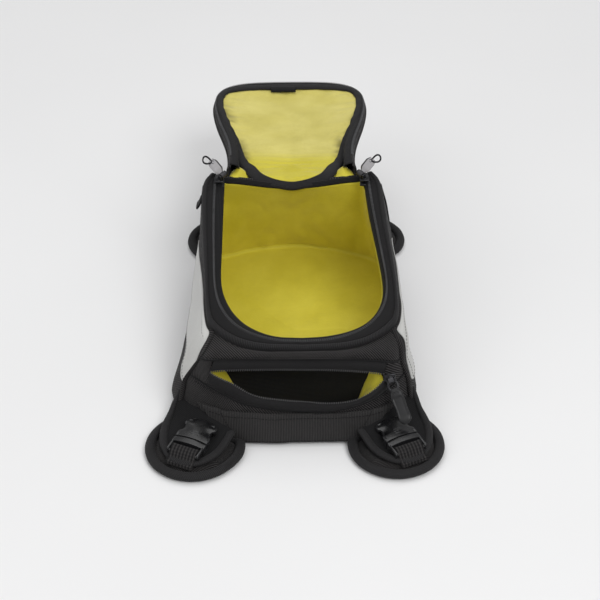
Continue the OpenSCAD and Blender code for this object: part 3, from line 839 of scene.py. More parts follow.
NT = 110
dU = part_of(D_curve, -75.5, 77, NT)
mU = resample(M_up, NT)
TU = np.stack([mU + (dU - mU) * t + np.array([0, -1.0, 0.6]) * (1.6 * math.sin(math.pi * t)) for t in np.linspace(0, 1, 9)], 1)
under = mU + np.array([0, 2.6, 1.6])
TU = np.concatenate([under[:, None], (mU + np.array([0, 0.7, -0.3]))[:, None], TU], 1)
o = sheet_obj("pocket_upper_tape", TU, [ZTAPE], 1.0, away=(0, -120, 50))
put(o, BAG, "trim_tape", "pocket_upper_tape")
dL = part_of(T_curve, -78, 80, NT)
mL = resample(L_low, NT)
lip = []
for t in np.linspace(0, 1, 11):
    q = dL + (mL - dL) * t
    lip.append(q + np.array([0, -1, 0.35]) * (2.6 * math.sin(math.pi * min(1, t * 1.02)) ** 0.8))
inner_roll = mL + np.array([0, 2.4, -1.6])
TL = np.stack(lip + [mL + np.array([0, 1.0, -0.1]), inner_roll], 1)
TL = rumple(TL, 0.5, 0.05, 31.0, 0.1)
o = sheet_obj("pocket_lower_tape", TL, [ZTAPE], 1.0, away=(0, -120, 40))
put(o, BAG, "trim_tape", "pocket_lower_tape")

# cloth squares at both ends of the mouth
def end_patch(s):
    if s < 0:
        top = part_of(D_curve, -200, -75.5, 16); bot = part_of(T_curve, -200, -78, 16)
        l = resample(seamL[i_t:i64 + 1], 14)
        mid = np.array([-75.2, -133.8, 58.8])
        r = crom([bot[-1], (-76.6, -136.4, 50.5), mid, top[-1]], 8)
        r = resample(r, 14)
    else:
        top = part_of(D_curve, 77, 200, 16); bot = part_of(T_curve, 80, 200, 16)
        r = resample(S_NEAR[seam_at(46):i60 + 1], 14)
        mid = np.array([77.2, -136.0, 53.6])
        l = resample(crom([bot[0], (78.8, -137.6, 48.0), mid, top[0]], 8), 14)
    G = coons(bot, top, l, r)
    return rumple(G, 0.5, 0.06, 41.0 + s, 0.15)


gl = sheet_obj("pocket_zip_garage", end_patch(-1), [SHELL], 1.6, away=(0, -100, 40))
put(gl, BAG, "shell_fabric", "pocket_zip_garage")
gr = sheet_obj("pocket_right_end", end_patch(1), [SHELL], 1.6, away=(0, -100, 40))
put(gr, BAG, "shell_fabric")

# pocket zip teeth: the lower row, which faces up, uses a paler copy of the teeth material as painted highlight; the
# upper row, facing down, keeps the darker one
tp = Parts()
P, Dd = along(mL + np.array([0, 0.4, 0.1]), 1.9)
V, F = dashes(P, np.cross(Dd, (0, -0.8, 0.6)), (0, -0.5, 0.86), 2.0, 0.5, 0.8)
tp.add(V, F, 1)
P, Dd = along(mU + np.array([0, -0.2, -0.4]), 1.9)
V, F = dashes(P, np.cross(Dd, (0, -0.9, 0.4)), (0, -0.8, -0.6), 2.0, 0.5, 0.8)
tp.add(V, F, 0)
o = tp.obj("pocket_zip_teeth", [TEETH, TEETH_PALE])
put(o, BAG, "zip_teeth", "pocket_zip_teeth")

# seams: sunk dark welt lines and stitching around the near side
def welt(name, C, r=0.8, off=(0, 0, 0)):
    o = tube(name, resample(C, 140) + np.asarray(off, float), r, PLAIN, 8)
    return put(o, BAG, "trim_tape")


welt("pocket_seam_welt", D_curve, 0.9, (0, -0.5, 0.1))
welt("pocket_lower_welt", T_curve, 0.8, (0, -0.5, 0.1))
st = Parts()
for C, off, nv in ((D_curve, (0, -1.5, 3.4), (0, -0.6, 0.8)), (T_curve, (0, -0.9, -3.0), (0, -0.9, 0.42))):
    P, Dd = along(resample(C, 160)[8:-8] + np.array(off), 3.3)
    V, F = dashes(P + np.array(nv) * 0.2, Dd, nv, 2.2, 0.3, 0.8)
    st.add(V, F)
put(st.obj("near_stitching", [THREAD]), BAG, "trim_tape")

# pocket inside: dark divider behind, lining in front and at the ends
x = np.linspace(-84, 84, 57)[:, None]; t = np.linspace(0, 1, 25)[None]
zt = 62 - 3.0 * (np.abs(x) / 84) ** 4
DV = pts(x + 0 * t, -119.5 + 0 * x * t + 2.2 * np.sin(3.1 * t + 0.04 * x), 6.5 + (zt - 6.5) * t)
o = sheet_obj("pocket_divider", DV, [PLAIN], 1.4, away=(0, 0, 30))
put(o, BAG, "shell_fabric", "pocket_divider")


def pocket_lining():
    n = 90
    mm = resample(mL, n)
    mm = mm + pts(0 * mm[:, 0], 1.8 + 0 * mm[:, 0], -5.5 + 3.5 * sstep(50, 76, np.abs(mm[:, 0])))
    rows = []
    e = np.abs(mm[:, 0]) / 77
    endf = sstep(0.72, 1.0, e)
    back_z = 6.8 + endf * 40
    for t in np.linspace(0, 1, 22):
        if t < 0.5:
            k = t / 0.5
            y = mm[:, 1] + (np.minimum(-124.0, mm[:, 1] + 10) - mm[:, 1]) * k ** 1.4
            z = mm[:, 2] + (back_z - mm[:, 2]) * sstep(0, 1, k)
        else:
            k = (t - 0.5) / 0.5
            y = np.minimum(-124.0, mm[:, 1] + 10) + (-121.6 - np.minimum(-124.0, mm[:, 1] + 10)) * k
            z = back_z + endf * (58 - back_z) * k * 0.9 + (1 - endf) * 1.5 * k
        rows.append(pts(mm[:, 0] * (1 - 0.012 * math.sin(math.pi * t)), y, z))
    S = np.stack(rows, 1)
    return rumple(S, 1.1, 0.06, 51.0, 0.08)


o = sheet_obj("pocket_lining", pocket_lining(), [LINING], 0.6, away=(0, -140, 10), flip=False)
put(o, BAG, "lining", "pocket_lining")

# lining at both ends of the pocket, running back to the divider
for s, nm, x_front, back in ((-1, "left", (-75.4, -46.0), [(-66, -121.4, 60.5), (-61, -121.2, 50), (-55, -121.2, 36), (-48, -121.4, 14)]),
                             (1, "right", (50.0, 76.0), [(66, -121.4, 60.5), (64.5, -121.2, 50), (61, -121.2, 36), (55, -121.4, 14)])):
    fr = part_of(L_low, x_front[0], x_front[1], 22) + np.array([0, 1.6, -0.9])
    bk = resample(crom(back, 8), 22)
    if s > 0:
        fr = fr[::-1]
    rows = []
    for t in np.linspace(0, 1, 15):
        q = fr + (bk - fr) * t
        q = q + np.array([s * 2.6, 0, -2.2]) * math.sin(math.pi * t) + np.array([s * 1.1, 0, 0]) * math.sin(3 * math.pi * t) * np.linspace(0, 1, 22)[:, None]
        rows.append(q)
    E_ = rumple(np.stack(rows, 1), 1.0, 0.08, 57.0 + s, 0.08)
    o = sheet_obj(f"pocket_end_{nm}", E_, [LINING], 0.6, away=(s * 120, -130, 20))
    put(o, BAG, "lining")

# ------------------------------------------------------------------ wide webbing band on the near face
def band_rows(zs, lifts, top_half, low_half, n=121):
    u = np.linspace(-1, 1, n)
    rows = []
    for z, lift in zip(zs, lifts):
        half = low_half + (z - 2.5) / 26.0 * (top_half - low_half)
        X = u * half
        # the band is drawn straight across the front and lies back at its ends
        Z = z + 0.3 * np.sin(X * 0.13 + 1.0) * (z > 20) - 1.2 * (np.abs(u) ** 3) * (z > 20)
        Q, N = locate(POCKET, (0, 2), np.stack([X, Z], -1))
        N = np.where(N[:, 1:2] > 0, -N, N)
        rows.append(Q + N * (lift + 0.5 * (1 - np.abs(u[:, None]) ** 2)))
    return np.stack(rows, 1)


B = band_rows((28.4, 28.9, 28.5, 27.0, 24.6, 21, 17, 13, 9, 6, 4.2, 3.0, 2.4, 2.9), (0.1, 1.5, 2.7, 3.1, 3.1, 3.1, 3.1, 3.1, 3.1, 3.1, 3.1, 2.8, 1.5, 0.1), 81.0, 64.0)
for _ in range(2):
    B[1:-1] = (B[:-2] + 2 * B[1:-1] + B[2:]) / 4
nB = normals(B)
nB = nB if nB[..., 1].mean() < 0 else -nB
B[1:-1, 1:-1] += (nB * (0.4 * nz(B, 0.05, 61.0))[..., None])[1:-1, 1:-1]
def upright(V, F):
    """Weave coordinates across and up the face, so that the ribs stand upright."""
    return np.stack([V[F][..., 0], V[F][..., 2] * 1.12], -1).reshape(-1, 2)


V, F, uv = grid_data(B, away=(0, -120, 15))
o = new_obj("webbing_band", V, F, WEBBING, upright(V, F))
put(o, BAG, "webbing", "webbing_band")
st = Parts()
for row in (4, 10):
    P, Dd = along(B[3:-3, row] + nB[3:-3, row] * 0.15, 3.0)
    V, F = dashes(P, Dd, (0, -0.95, 0.3), 2.3, 0.36, 0.8)
    st.add(V, F)
for i in (12, -13):
    P, Dd = along(B[i, 2:-2] + nB[i, 2:-2] * 0.15, 2.6)
    V, F = dashes(P, Dd, (0, -0.95, 0.3), 2.0, 0.34, 0.8)
    st.add(V, F)
put(st.obj("band_stitching", [THREAD]), BAG, "webbing")
# the band's ends are folded under at a slant: the lower layer shows as a second edge
B2 = band_rows((27.2, 27.0, 22, 17, 12, 7, 3.4, 3.2), (0.2, 1.3, 1.3, 1.3, 1.3, 1.3, 1.3, 0.2), 86.5, 72.0)
B2[1:-1] = (B2[:-2] + 2 * B2[1:-1] + B2[2:]) / 4
V, F, uv = grid_data(B2, away=(0, -120, 15))
put(new_obj("band_fold", V, F, WEBBING, upright(V, F)), BAG, "webbing")

# ------------------------------------------------------------------ rim: bound edge, zip tape, teeth
NR = 300
ro = resample(both(RO), NR)
ch = resample(both(CH), NR)
dirn = ro - ch
dist = np.linalg.norm(dirn, axis=1, keepdims=True)
dirn = dirn / dist


def rim_row(off_from_outer=None, off_from_chain=None, n=0.0):
    xy = ro + dirn * off_from_outer if off_from_outer is not None else ch + dirn * off_from_chain
    return rimP(xy[:, 0], xy[:, 1], n)


bind = np.stack([rim_row(1.9, n=-11.5), rim_row(1.7, n=-9.5), rim_row(1.6, n=-7.0), rim_row(1.3, n=-4.6), rim_row(0.5, n=-2.6), rim_row(-0.8, n=-1.4),
                 rim_row(-2.2, n=-1.2), rim_row(-3.4, n=-1.9), rim_row(-4.2, n=-3.1), rim_row(-4.6, n=-4.4)], 1)
o = sheet_obj("rim_edge_binding", bind, [TAPE], 0.8, away=(0, -15, 60))
put(o, BAG, "trim_tape")
tape = np.stack([rim_row(-3.6, n=-3.6), rim_row(-4.8, n=-2.9)] +
                [rimP(*((ro + dirn * -4.8) * (1 - t) + (ch + dirn * 0.5) * t).T, -2.8 + 0.7 * math.sin(math.pi * t) - 0.2 * t) for t in (0.25, 0.5, 0.75, 1.0)] +
                [rim_row(off_from_chain=-0.2, n=-3.9)], 1)
o = sheet_obj("rim_zip_tape", tape, [ZTAPE], 0.7, away=(0, -15, 40))
put(o, BAG, "trim_tape", "rim_zip_tape")
in_w = 6.4 + 2.6 * sstep(20, 70, -ch[:, :1]) - 2.6 * sstep(20, 70, ch[:, :1])
inner_band = np.stack([rim_row(off_from_chain=k * in_w + d, n=n) for k, d, n in ((0, 1.0, -4.2), (-0.25, 0, -4.5), (-0.5, 0, -4.8), (-0.8, 0, -5.4), (-0.97, 0, -6.6), (-1, 0, -8.4), (-1, 0.3, -12.5))], 1)
o = sheet_obj("rim_inner_band", inner_band, [PLAIN], 0.7, away=(0, -15, 200))
put(o, BAG, "trim_tape")
P, Dd = along(np.column_stack([rim_row(off_from_chain=-0.5, n=-3.0), dirn]), 1.9)
rn = np.array([0, -S10, C10])
across = pts(P[:, 3], P[:, 4] * C10, P[:, 4] * S10)
V, F = dashes(P[:, :3], across, rn, 2.9, 0.66, 0.85)
o = new_obj("rim_zip_teeth", V, F, TEETH)
put(o, BAG, "zip_teeth", "rim_zip_teeth")
put(stitches("rim_stitching", rim_row(-5.4, n=-2.85)[6:-6], rn, THREAD, 3.2, 2.1, 0.28), BAG, "trim_tape")

# ------------------------------------------------------------------ far side
def dip_z(x):
    """Height of the far wall's sagging top edge."""
    a = np.abs(x)
    return 106.4 + 6.4 * sstep(8, 66, a) + 2.4 * sstep(62, 78, a)


NF = 110
base_far = crom([(104.6, 84, 1), (101.5, 98, 1), (92, 111.2, 1), (62, 124, 1), (30, 136.2, 1), (0, 138.2, 1), (-30, 136.2, 1), (-62, 124, 1),
                 (-92, 111.2, 1), (-101.5, 98, 1), (-104.6, 84, 1)], 12)
top_pts = [far_top]
for xx in (77.5, 66, 52, 36, 18, 0, -18, -36, -52, -66, -77.5):
    zz = float(dip_z(xx))
    top_pts.append((xx, 97.6 + (117 - zz) * 0.26 - 3.2 * (abs(xx) > 72), zz + 1.0))
top_pts.append(flipx(far_top))
far_curve = crom(top_pts, 12)
FAR = coons(resample(base_far, NF), resample(far_curve, NF), resample(S_FAR, 40), resample(flipx(S_FAR), 40))
FAR = rumple(FAR, 2.0, 0.02, 71.0, 0.1)
o = sheet_obj("far_panel", FAR, [SHELL], 2.4, away=(0, 0, 40))
put(o, BAG, "shell_fabric", "far_panel")
# far seams, sewn down with a narrow tape
pp = Parts()
for s in (-1, 1):
    path = resample(S_FAR, 50).copy()
    path[:, 0] += 0.9
    if s < 0:
        path = flipx(path)
    V, F, uv = sweep_data(path, flat(5.0, 1.2), (1.0 * s, 0.35, 0.25))
    pp.add(V, F, 0, uv)
put(fix_normals(pp.obj("far_seam_tapes", [TAPE])), BAG, "trim_tape")

# dark bound edge along the inside of the far wall's top
xs = np.linspace(-73, 73, 90)
path = pts(xs, 92.6 + 1.6 * sstep(60, 74, np.abs(xs)) - 0 * xs, dip_z(xs) - 0.2)
o = sweep("far_top_binding", path, flat(5.6, 2.4, 7), PLAIN, (0, -0.75, 0.66))
put(o, BAG, "trim_tape", "far_top_binding")

# ------------------------------------------------------------------ main lining
def radial(poly, th, c):
    """Where rays at angles th from c meet a closed outline."""
    P = np.asarray(poly, float) - c
    Q = np.roll(P, -1, 0)
    out = np.zeros((len(th), 2))
    for i, a in enumerate(th):
        d = np.array([math.cos(a), math.sin(a)])
        e = Q - P
        den = d[0] * e[:, 1] - d[1] * e[:, 0]
        den[np.abs(den) < 1e-9] = 1e-9
        tt = (P[:, 0] * e[:, 1] - P[:, 1] * e[:, 0]) / den
        uu = (P[:, 0] * d[1] - P[:, 1] * d[0]) / den
        ok = (uu >= -1e-6) & (uu <= 1 + 1e-6) & (tt > 0)
        out[i] = c + d * tt[ok].max()
    return out


def main_lining():
    th = np.linspace(0, 2 * math.pi, 260, endpoint=False)
    c = np.array([0, -12.0])
    t_in = both(CH[:-6])
    top3 = rimP(t_in[:, 0] * 0.945, -t_in[:, 1] * 0 + t_in[:, 1] * 0.972 - 2, -11.0)
    farx = np.linspace(68, -68, 24)
    far3 = pts(farx, np.full(24, 91.0), dip_z(farx) - 2.0)
    loop3 = np.vstack([top3, far3])
    top_xy = radial(loop3[:, :2], th, c)
    # height of the top edge at each direction, from the nearest loop point
    tz = np.array([loop3[np.argmin(((loop3[:, :2] - p) ** 2).sum(1)), 2] for p in top_xy])
    for _ in range(4):
        tz = (np.roll(tz, 1) + 2 * tz + np.roll(tz, -1)) / 4
    low = np.array([(88, -113.5), (98, -104), (103, -92), (98.5, 82), (88, 104), (26, 130), (-26, 130), (-88, 104), (-98.5, 82), (-103, -92), (-98, -104), (-88, -113.5)], float)
    bot_xy = radial(chaikin(low, 2), th, c)
    rows = []
    for t in np.linspace(0, 1, 26):
        k = t
        bulge = math.sin(math.pi * t)
        xy = top_xy + (bot_xy - top_xy) * (k ** 0.9)
        z = tz + (9.0 - tz) * k
        if t > 0.86:
            q = (t - 0.86) / 0.14
            z = z + 2.5 * q * (1 - q) * 2
        rows.append(np.column_stack([xy + (xy - c) / np.linalg.norm(xy - c, axis=1, keepdims=True) * 1.0 * bulge, z]))
    for k in (0.96, 0.9, 0.8, 0.66, 0.5, 0.34, 0.18, 0.0):
        rows.append(np.column_stack([c + (bot_xy - c) * k, np.full(len(th), 8.2)]))
    S = np.stack(rows, 1)
    # slack cloth: long soft folds down the walls
    n = normals(S)
    w = np.clip(np.arange(S.shape[1]) / 6.0, 0, 1)[None]
    f = nz(S * np.array([1, 1, 0.35]), 0.045, 81.0) + 0.5 * nz(S * np.array([1, 1, 0.4]), 0.1, 91.0)
    inw = np.concatenate([(c - S[..., :2]), 0 * S[..., 2:]], -1)
    inw /= np.maximum(np.linalg.norm(inw, axis=-1, keepdims=True), 1e-6)
    wall = (np.arange(S.shape[1]) < 25)[None]
    S = S + inw * (np.abs(f) * 2.6 * w * wall)[..., None]
    fl = (~wall) * 1.0
    S[..., 2] += fl * (1.2 + 1.2 * nz(S, 0.03, 95.0))
    S[:, -1] = S[:, -1].mean(0)
    return S


S = main_lining()
o = sheet_obj("main_lining", S, [LINING], 0.0, away=(0, -12, 70), cu=True, merge=True)
# faces look inwards
o.data.flip_normals()
m_ = o.modifiers.new("thickness", "SOLIDIFY"); m_.thickness, m_.offset = 0.7 * MM, -1.0
put(o, BAG, "lining", "main_lining")

# small cloth tag on the left side
xs = np.linspace(0, 1, 10)
tag = []
for a in np.linspace(0, 1, 9):
    tag.append(pts(-85.6 - 18.4 * xs ** 0.8, 65.0 + 13.0 * a + 0 * xs, 107.5 - 9.0 * xs ** 1.2 + 0.8 * math.sin(5 * a)))
Tg = np.stack(tag, 0)
o = sheet_obj("side_tag", Tg, [PLAIN], 1.5, away=(-90, 67, 40))
put(o, BAG, "trim_tape", "side_tag")
P, Dd = along(Tg[:, 2] + np.array([0, 0, 0.1]), 2.2)
V, F = dashes(P, Dd, (0, 0, 1), 1.6, 0.28, 0.8)
put(new_obj("tag_stitching", V, F, THREAD), BAG, "trim_tape")

# ------------------------------------------------------------------ lid
def depth(y):
    return (15.8 - 0.06 * np.clip(y, 0, 215)) * (0.86 + 0.14 * sstep(4, 34, y))


ZE = both(crom([(0, 208.5), (25, 208), (45, 205.8), (58.8, 200.4), (69, 191), (75.2, 177.5), (77.4, 161), (77.2, 145), (75, 126), (70.8, 103),
                (66, 82), (61.8, 61), (59.6, 42), (59.2, 24), (60.6, 6)], 12))
BO = both(crom([(0, 201.5), (26, 201.2), (46, 199.6), (61.5, 194.4), (72.2, 184), (77.6, 168), (78.0, 151), (75, 131), (69.2, 106), (61.8, 79),
                (57.8, 57), (52.6, 34), (47.6, 20)], 12))
NL = 220
ze = resample(ZE, NL); bo = resample(BO, NL)
T2 = np.gradient(ze, axis=0); T2 /= np.linalg.norm(T2, axis=1, keepdims=True)
outn = np.stack([-T2[:, 1], T2[:, 0]], 1)
if (outn * (ze - np.array([0, 100]))).sum() < 0:
    outn = -outn
LID = "lid"


def lid_row(xy, off, n):
    off = np.broadcast_to(np.asarray(off, float), (len(xy),))
    q = xy + outn * off[:, None]
    return lidP(q[:, 0], q[:, 1], n)


def lid_height(y):
    """Level of the bound edge of the lining: down in the tray at the hinge, up at the zip at the free end."""
    return (1 - sstep(55, 150, y)) * (-10.6 + 0.06 * y) + sstep(55, 150, y) * 3.2


dz = depth(ze[:, 1])
wall_rows = [lid_row(ze, -1.2, 2.0 + 0 * dz), lid_row(ze, 0.2, 2.7 + 0 * dz), lid_row(ze, 1.6, 2.2 + 0 * dz), lid_row(ze, 2.6, 0.4 - 0.02 * dz), lid_row(ze, 3.1, -0.18 * dz),
             lid_row(ze, 3.0, -0.42 * dz), lid_row(ze, 2.0, -0.70 * dz), lid_row(ze, -0.8, -0.93 * dz), lid_row(ze, -4.5, -1.04 * dz - 0.6)]
spine = np.column_stack([0 * ze[:, 0], np.clip(ze[:, 1], 14, 150)])
q0 = ze + outn * -4.5
for k in (0.86, 0.7, 0.52, 0.34, 0.16, 0.0):
    q = spine + (q0 - spine) * k
    wall_rows.append(lidP(q[:, 0], q[:, 1], -depth(q[:, 1]) * 1.04 - 0.6 - 1.6 * (1 - k * k)))
W = np.stack(wall_rows, 1)
W[:, 7:] += np.array([0, SL, CL]) * (0.8 * nz(W[:, 7:], 0.03, 101.0))[..., None]
o = sheet_obj("lid_shell", W, [SHELL], 1.6, away=tuple(lidP(0, 100, 20)), merge=True)
flat_uv(o, Vector((1, 0, 0)), Vector((0, 1, 0)), Vector((0, 0, 1)))
put(o, LID, "shell_fabric", "lid_shell")
# sewn piping round the lid's outer face
path = lid_row(ze, 2.5, -0.62 * dz)
o = tube("lid_piping", path[4:-4], 1.7, SHELL, 10)
put(o, LID, "shell_fabric")

# inner gusset between the bound lining and the zip
gap = np.linalg.norm(ze - bo, axis=1)
t_in = np.clip(gap - 0.6, 1.2, 7.0)
g0 = lidP(bo[:, 0], bo[:, 1], lid_height(bo[:, 1]) - 1.0)
g1 = lid_row(ze, -t_in, 1.6 + 0 * dz)
ks = slice(2, -2)
rows = []
for t in np.linspace(0, 1, 8):
    q = g0 * (1 - t) + g1 * t
    rows.append(q + np.array([0, 0, -1.6]) * math.sin(math.pi * t))
G = np.stack(rows, 1)[ks]
o = sheet_obj("lid_gusset", G, [PLAIN], 0.8, away=tuple(lidP(0, 100, -60)))
put(o, LID, "shell_fabric")
zt_rows = np.stack([lid_row(ze, -t_in - 0.4, 1.0 + 0 * dz)] + [lid_row(ze, -t_in * k, h + 0 * dz) for k, h in ((0.9, 2.2), (0.6, 2.9), (0.3, 3.1), (0.05, 3.2))]
                   + [lid_row(ze, 0.4, 2.2 + 0 * dz)], 1)[ks]
o = sheet_obj("lid_zip_tape", zt_rows, [ZTAPE], 0.7, away=tuple(lidP(0, 100, -60)))
put(o, LID, "trim_tape", "lid_zip_tape")
P, Dd = along(np.column_stack([lid_row(ze, 0.9, 3.0 + 0 * dz), outn])[10:-10], 1.9)
ac = pts(P[:, 3], P[:, 4] * CL, -P[:, 4] * SL)
V, F = dashes(P[:, :3], ac, (0, SL, CL), 2.5, 0.6, 0.85)
o = new_obj("lid_zip_teeth", V, F, TEETH)
put(o, LID, "zip_teeth", "lid_zip_teeth")

# bound edge of the lining: round the lid, then in a U over the far wall
Tb = np.gradient(bo, axis=0); Tb /= np.linalg.norm(Tb, axis=1, keepdims=True)
inn = np.stack([Tb[:, 1], -Tb[:, 0]], 1)
if (inn * (np.array([0, 100]) - bo)).sum() < 0:
    inn = -inn
b_w = 7.6 + 2.0 * (1 - sstep(50, 130, bo[:, 1])) + 5.5 * (1 - sstep(14, 46, bo[:, 1])) + 5.0 * sstep(184, 200, bo[:, 1]) + 0.9 * nz(pts(np.abs(bo[:, 0]), bo[:, 1], 0), 0.11, 109.0)
bi = bo + inn * b_w[:, None]
lo_o = lidP(bo[:, 0], bo[:, 1], lid_height(bo[:, 1]) + 0.6)
lo_i = lidP(bi[:, 0], bi[:, 1], lid_height(bo[:, 1]) + 0.2)
Uo = crom([lo_o[-1]] + both([(0, 88.8, 103.0), (14, 89.8, 105.0), (27, 92.4, 106.1), (37, 97.0, 108.6), (42.4, 104.6, 110.2)])[::-1].tolist() + [lo_o[0]], 14)
Ui = crom([lo_i[-1]] + both([(0, 95.4, 109.2), (10, 96.8, 109.9), (20, 100.0, 111.2), (28.4, 104.8, 112.8)])[::-1].tolist() + [lo_i[0]], 14)
NU = 110
Eo = np.vstack([lo_o, resample(Uo, NU)[1:-1]])
Ei = np.vstack([lo_i, resample(Ui, NU)[1:-1]])
sym = np.r_[np.arange(NL)[::-1], NL + np.arange(NU - 2)[::-1]]      # the same place on the other side
across = Ei - Eo
Tn = np.roll(Eo, -1, 0) - np.roll(Eo, 1, 0)
bn = np.cross(Tn, across); bn /= np.linalg.norm(bn, axis=1, keepdims=True)
bn[bn[:, 2] < 0] *= -1
rows = []
for t in np.linspace(0, 1, 11):
    rows.append(Eo + across * t + bn * (2.0 * math.sqrt(max(0.0, 1 - (2 * t - 1) ** 2)) ** 0.8 - 0.2))
for t in (0.75, 0.5, 0.25):
    rows.append(Eo + across * t - bn * 0.8)
Bd = np.stack(rows, 1)
Bd[:, :11] += bn[:, None] * (0.45 * nz(Bd[:, :11], 0.09, 111.0))[..., None]
V, F, uv = grid_data(Bd, True, True)
o = fix_normals(new_obj("lid_binding", V, F, TAPE, uv))
put(o, None, "trim_tape", "lid_binding")
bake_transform(o)
st = Parts()
for tt in (0.16, 0.84):
    C = Eo + across * tt + bn * 1.4
    P, Dd = along(np.column_stack([np.vstack([C, C[:1]]), np.vstack([bn, bn[:1]])]), 3.1)
    V, F = dashes(P[:, :3], Dd[:, :3], P[:, 3:], 2.1, 0.27, 0.8)
    st.add(V, F)
o = st.obj("binding_stitching", [THREAD])
put(o, None, "trim_tape")
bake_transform(o)

# lid lining: sewn in at the bound edge, sagging between
sp_y = np.clip((Ei[:, 1] + Ei[sym, 1]) / 2, 132, 250)
sp = np.column_stack([0 * sp_y, sp_y])
sp_lo, sp_hi = lidP(0, 38, -10.4)[2], lidP(0, 155, -3.6)[2]
spine3 = np.column_stack([sp, np.interp(sp[:, 1], [132, 250], [sp_lo, sp_hi])])
rows = []
edge = Ei - across * 0.14 - bn * 0.6
kk = np.array([1.0, 0.97, 0.93, 0.87, 0.8, 0.72, 0.63, 0.53, 0.43, 0.33, 0.22, 0.11, 0.0])
for k in kk:
    q = spine3 + (edge - spine3) * k
    # steep near the sewn edge, then flat
    h = 1 - (1 - k) ** 0.55 if k < 1 else 1.0
    q[:, 2] = spine3[:, 2] + (edge[:, 2] - spine3[:, 2]) * (0.45 * k ** 3 + 0.55 * h)
    rows.append(q)
Ln = np.stack(rows, 1)
yy = Ln[..., 1] - 95
inside = sstep(0, 0.2, 1 - kk)[None]
low = 1 - sstep(40, 66, yy)
fold = 1.1 * np.sin(yy * 0.8 + 2.2 * nz(Ln, 0.045, 121.0)) * (0.5 + nz(Ln * np.array([0.4, 1, 1]), 0.03, 127.0))
wide = 1.9 * nz(Ln, 0.016, 131.0) + 0.9 * nz(Ln, 0.045, 137.0)
pucker = 1.5 * nz(Ln * np.array([1, 1, 0.3]), 0.13, 139.0) * (sstep(0.0, 0.06, 1 - kk) * (1 - sstep(0.1, 0.35, 1 - kk)))[None]
fine_w = 0.32 * np.sin(yy * 1.7 + 3.0 * nz(Ln, 0.06, 123.0)) * np.clip(0.4 + 1.2 * nz(Ln * np.array([0.5, 1, 1]), 0.05, 129.0), 0, 1)
over = 1 - sstep(9, 22, yy)                   # drawn tight over the far wall
Ln[..., 2] += inside * (1 - 0.85 * over) * (low * (fold + fine_w) + (1 - 0.6 * low) * wide) + pucker + 0.9 * inside * over
V, F, uv = grid_data(Ln, True, False, away=(0, 200, -200))
o = new_obj("lid_lining", V, F, LINING, uv)
# painted sheen: the lid lining is painted paler away from the hinge, as a painted highlight where it catches the front
# light
painted_sheen = o.data.attributes.new("painted_sheen", "FLOAT", "POINT")
painted_sheen.data.foreach_set("value", (sstep(38, 66, (Ln[..., 1] - 95).ravel() + 6 * nz(Ln, 0.02, 141.0).ravel())).astype(np.float32))
# painted shade, in patches along the sewn edges at the sides of the lid lining, where the raised binding shades the
# sunken cloth
painted_edge_shade = (1 - sstep(0.03, 0.2, 1 - kk))[None] * np.clip(0.3 + 1.5 * nz(Ln, 0.05, 143.0) + 0.6 * nz(Ln, 0.2, 149.0), 0, 1)
painted_edge_shade = painted_edge_shade * sstep(30, 44, np.abs(Ln[..., 0])) * sstep(20, 50, yy) * (1 - sstep(130, 175, yy))
o.data.attributes.new("painted_edge_shade", "FLOAT", "POINT").data.foreach_set("value", painted_edge_shade.ravel().astype(np.float32))
merge_close(o)
m_ = o.modifiers.new("thickness", "SOLIDIFY"); m_.thickness, m_.offset = 0.7 * MM, -1.0
put(o, None, "lining", "lid_lining")
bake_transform(o)

# lining that turns up from the far wall to the zip ends, beside the U
rows = []
xs = np.linspace(-63, 63, 61)
g = sstep(40, 56, np.abs(xs))
for t in np.linspace(0, 1, 13):
    y0, z0 = 92.0 + 0 * xs, dip_z(xs) - 2.4
    y1, z1 = 97.5 + 0 * xs, dip_z(xs) + 2.6 - 5.4 * (1 - g)
    y2, z2 = 112.5 + 0 * xs, 105.2 + 10.6 * g - 4.0 * sstep(57, 63, np.abs(xs))
    y = (1 - t) ** 2 * y0 + 2 * t * (1 - t) * y1 + t * t * y2
    z = (1 - t) ** 2 * z0 + 2 * t * (1 - t) * z1 + t * t * z2
    rows.append(pts(xs * (1 - 0.07 * t), y, z))
H = rumple(np.stack(rows, 1), 1.1, 0.1, 151.0, 0.06)
o = sheet_obj("hinge_lining", H, [LINING], 0.6, away=(0, 100, 0))
put(o, None, "lining")
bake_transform(o)
# outer cloth of the hinge, from the far wall to the underside of the lid
rows = []
xs = np.linspace(-64, 64, 61)
for t in np.linspace(0, 1, 11):
    y0, z0 = 100.4 + 0 * xs + (117 - dip_z(xs)) * 0.2, dip_z(xs) - 5
    y1, z1 = 98.4 + 0 * xs, dip_z(xs) + 1.6
    y2, z2 = 112 + 0 * xs, 103.2 + 8.0 * sstep(54, 66, np.abs(xs))
    y = (1 - t) ** 2 * y0 + 2 * t * (1 - t) * y1 + t * t * y2
    z = (1 - t) ** 2 * z0 + 2 * t * (1 - t) * z1 + t * t * z2
    rows.append(pts(xs, y, z))
H2 = np.stack(rows, 1)
o = sheet_obj("hinge_cloth", H2, [SHELL], 0.8, away=(0, 100, 160))
put(o, None, "shell_fabric")
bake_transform(o)      # the cloth spans straight from wall to lid when it closes

# label tab on the lining's bound edge, bare
rows = []
for a in np.linspace(-1, 1, 15):
    y = np.array([183.4, 184.2, 186.0, 188.5, 191.0, 193.0])
    n = np.array([2.6, 4.4, 5.2, 5.6, 5.7, 5.4]) + 0.25 * (1 - a * a)
    rows.append(lidP(a * 13.4 - 6.4 + 0 * y, y, n))
Lb = np.stack(rows, 0)
o = sheet_obj("lid_label", Lb, [PLAIN], 1.0, away=tuple(lidP(0, 190, -60)))
put(o, LID, "trim_tape", "lid_label")

# ------------------------------------------------------------------ hard pieces: sliders and pulls
def place(V, M, o):
    return np.asarray(V) @ np.asarray(M).T + np.asarray(o)


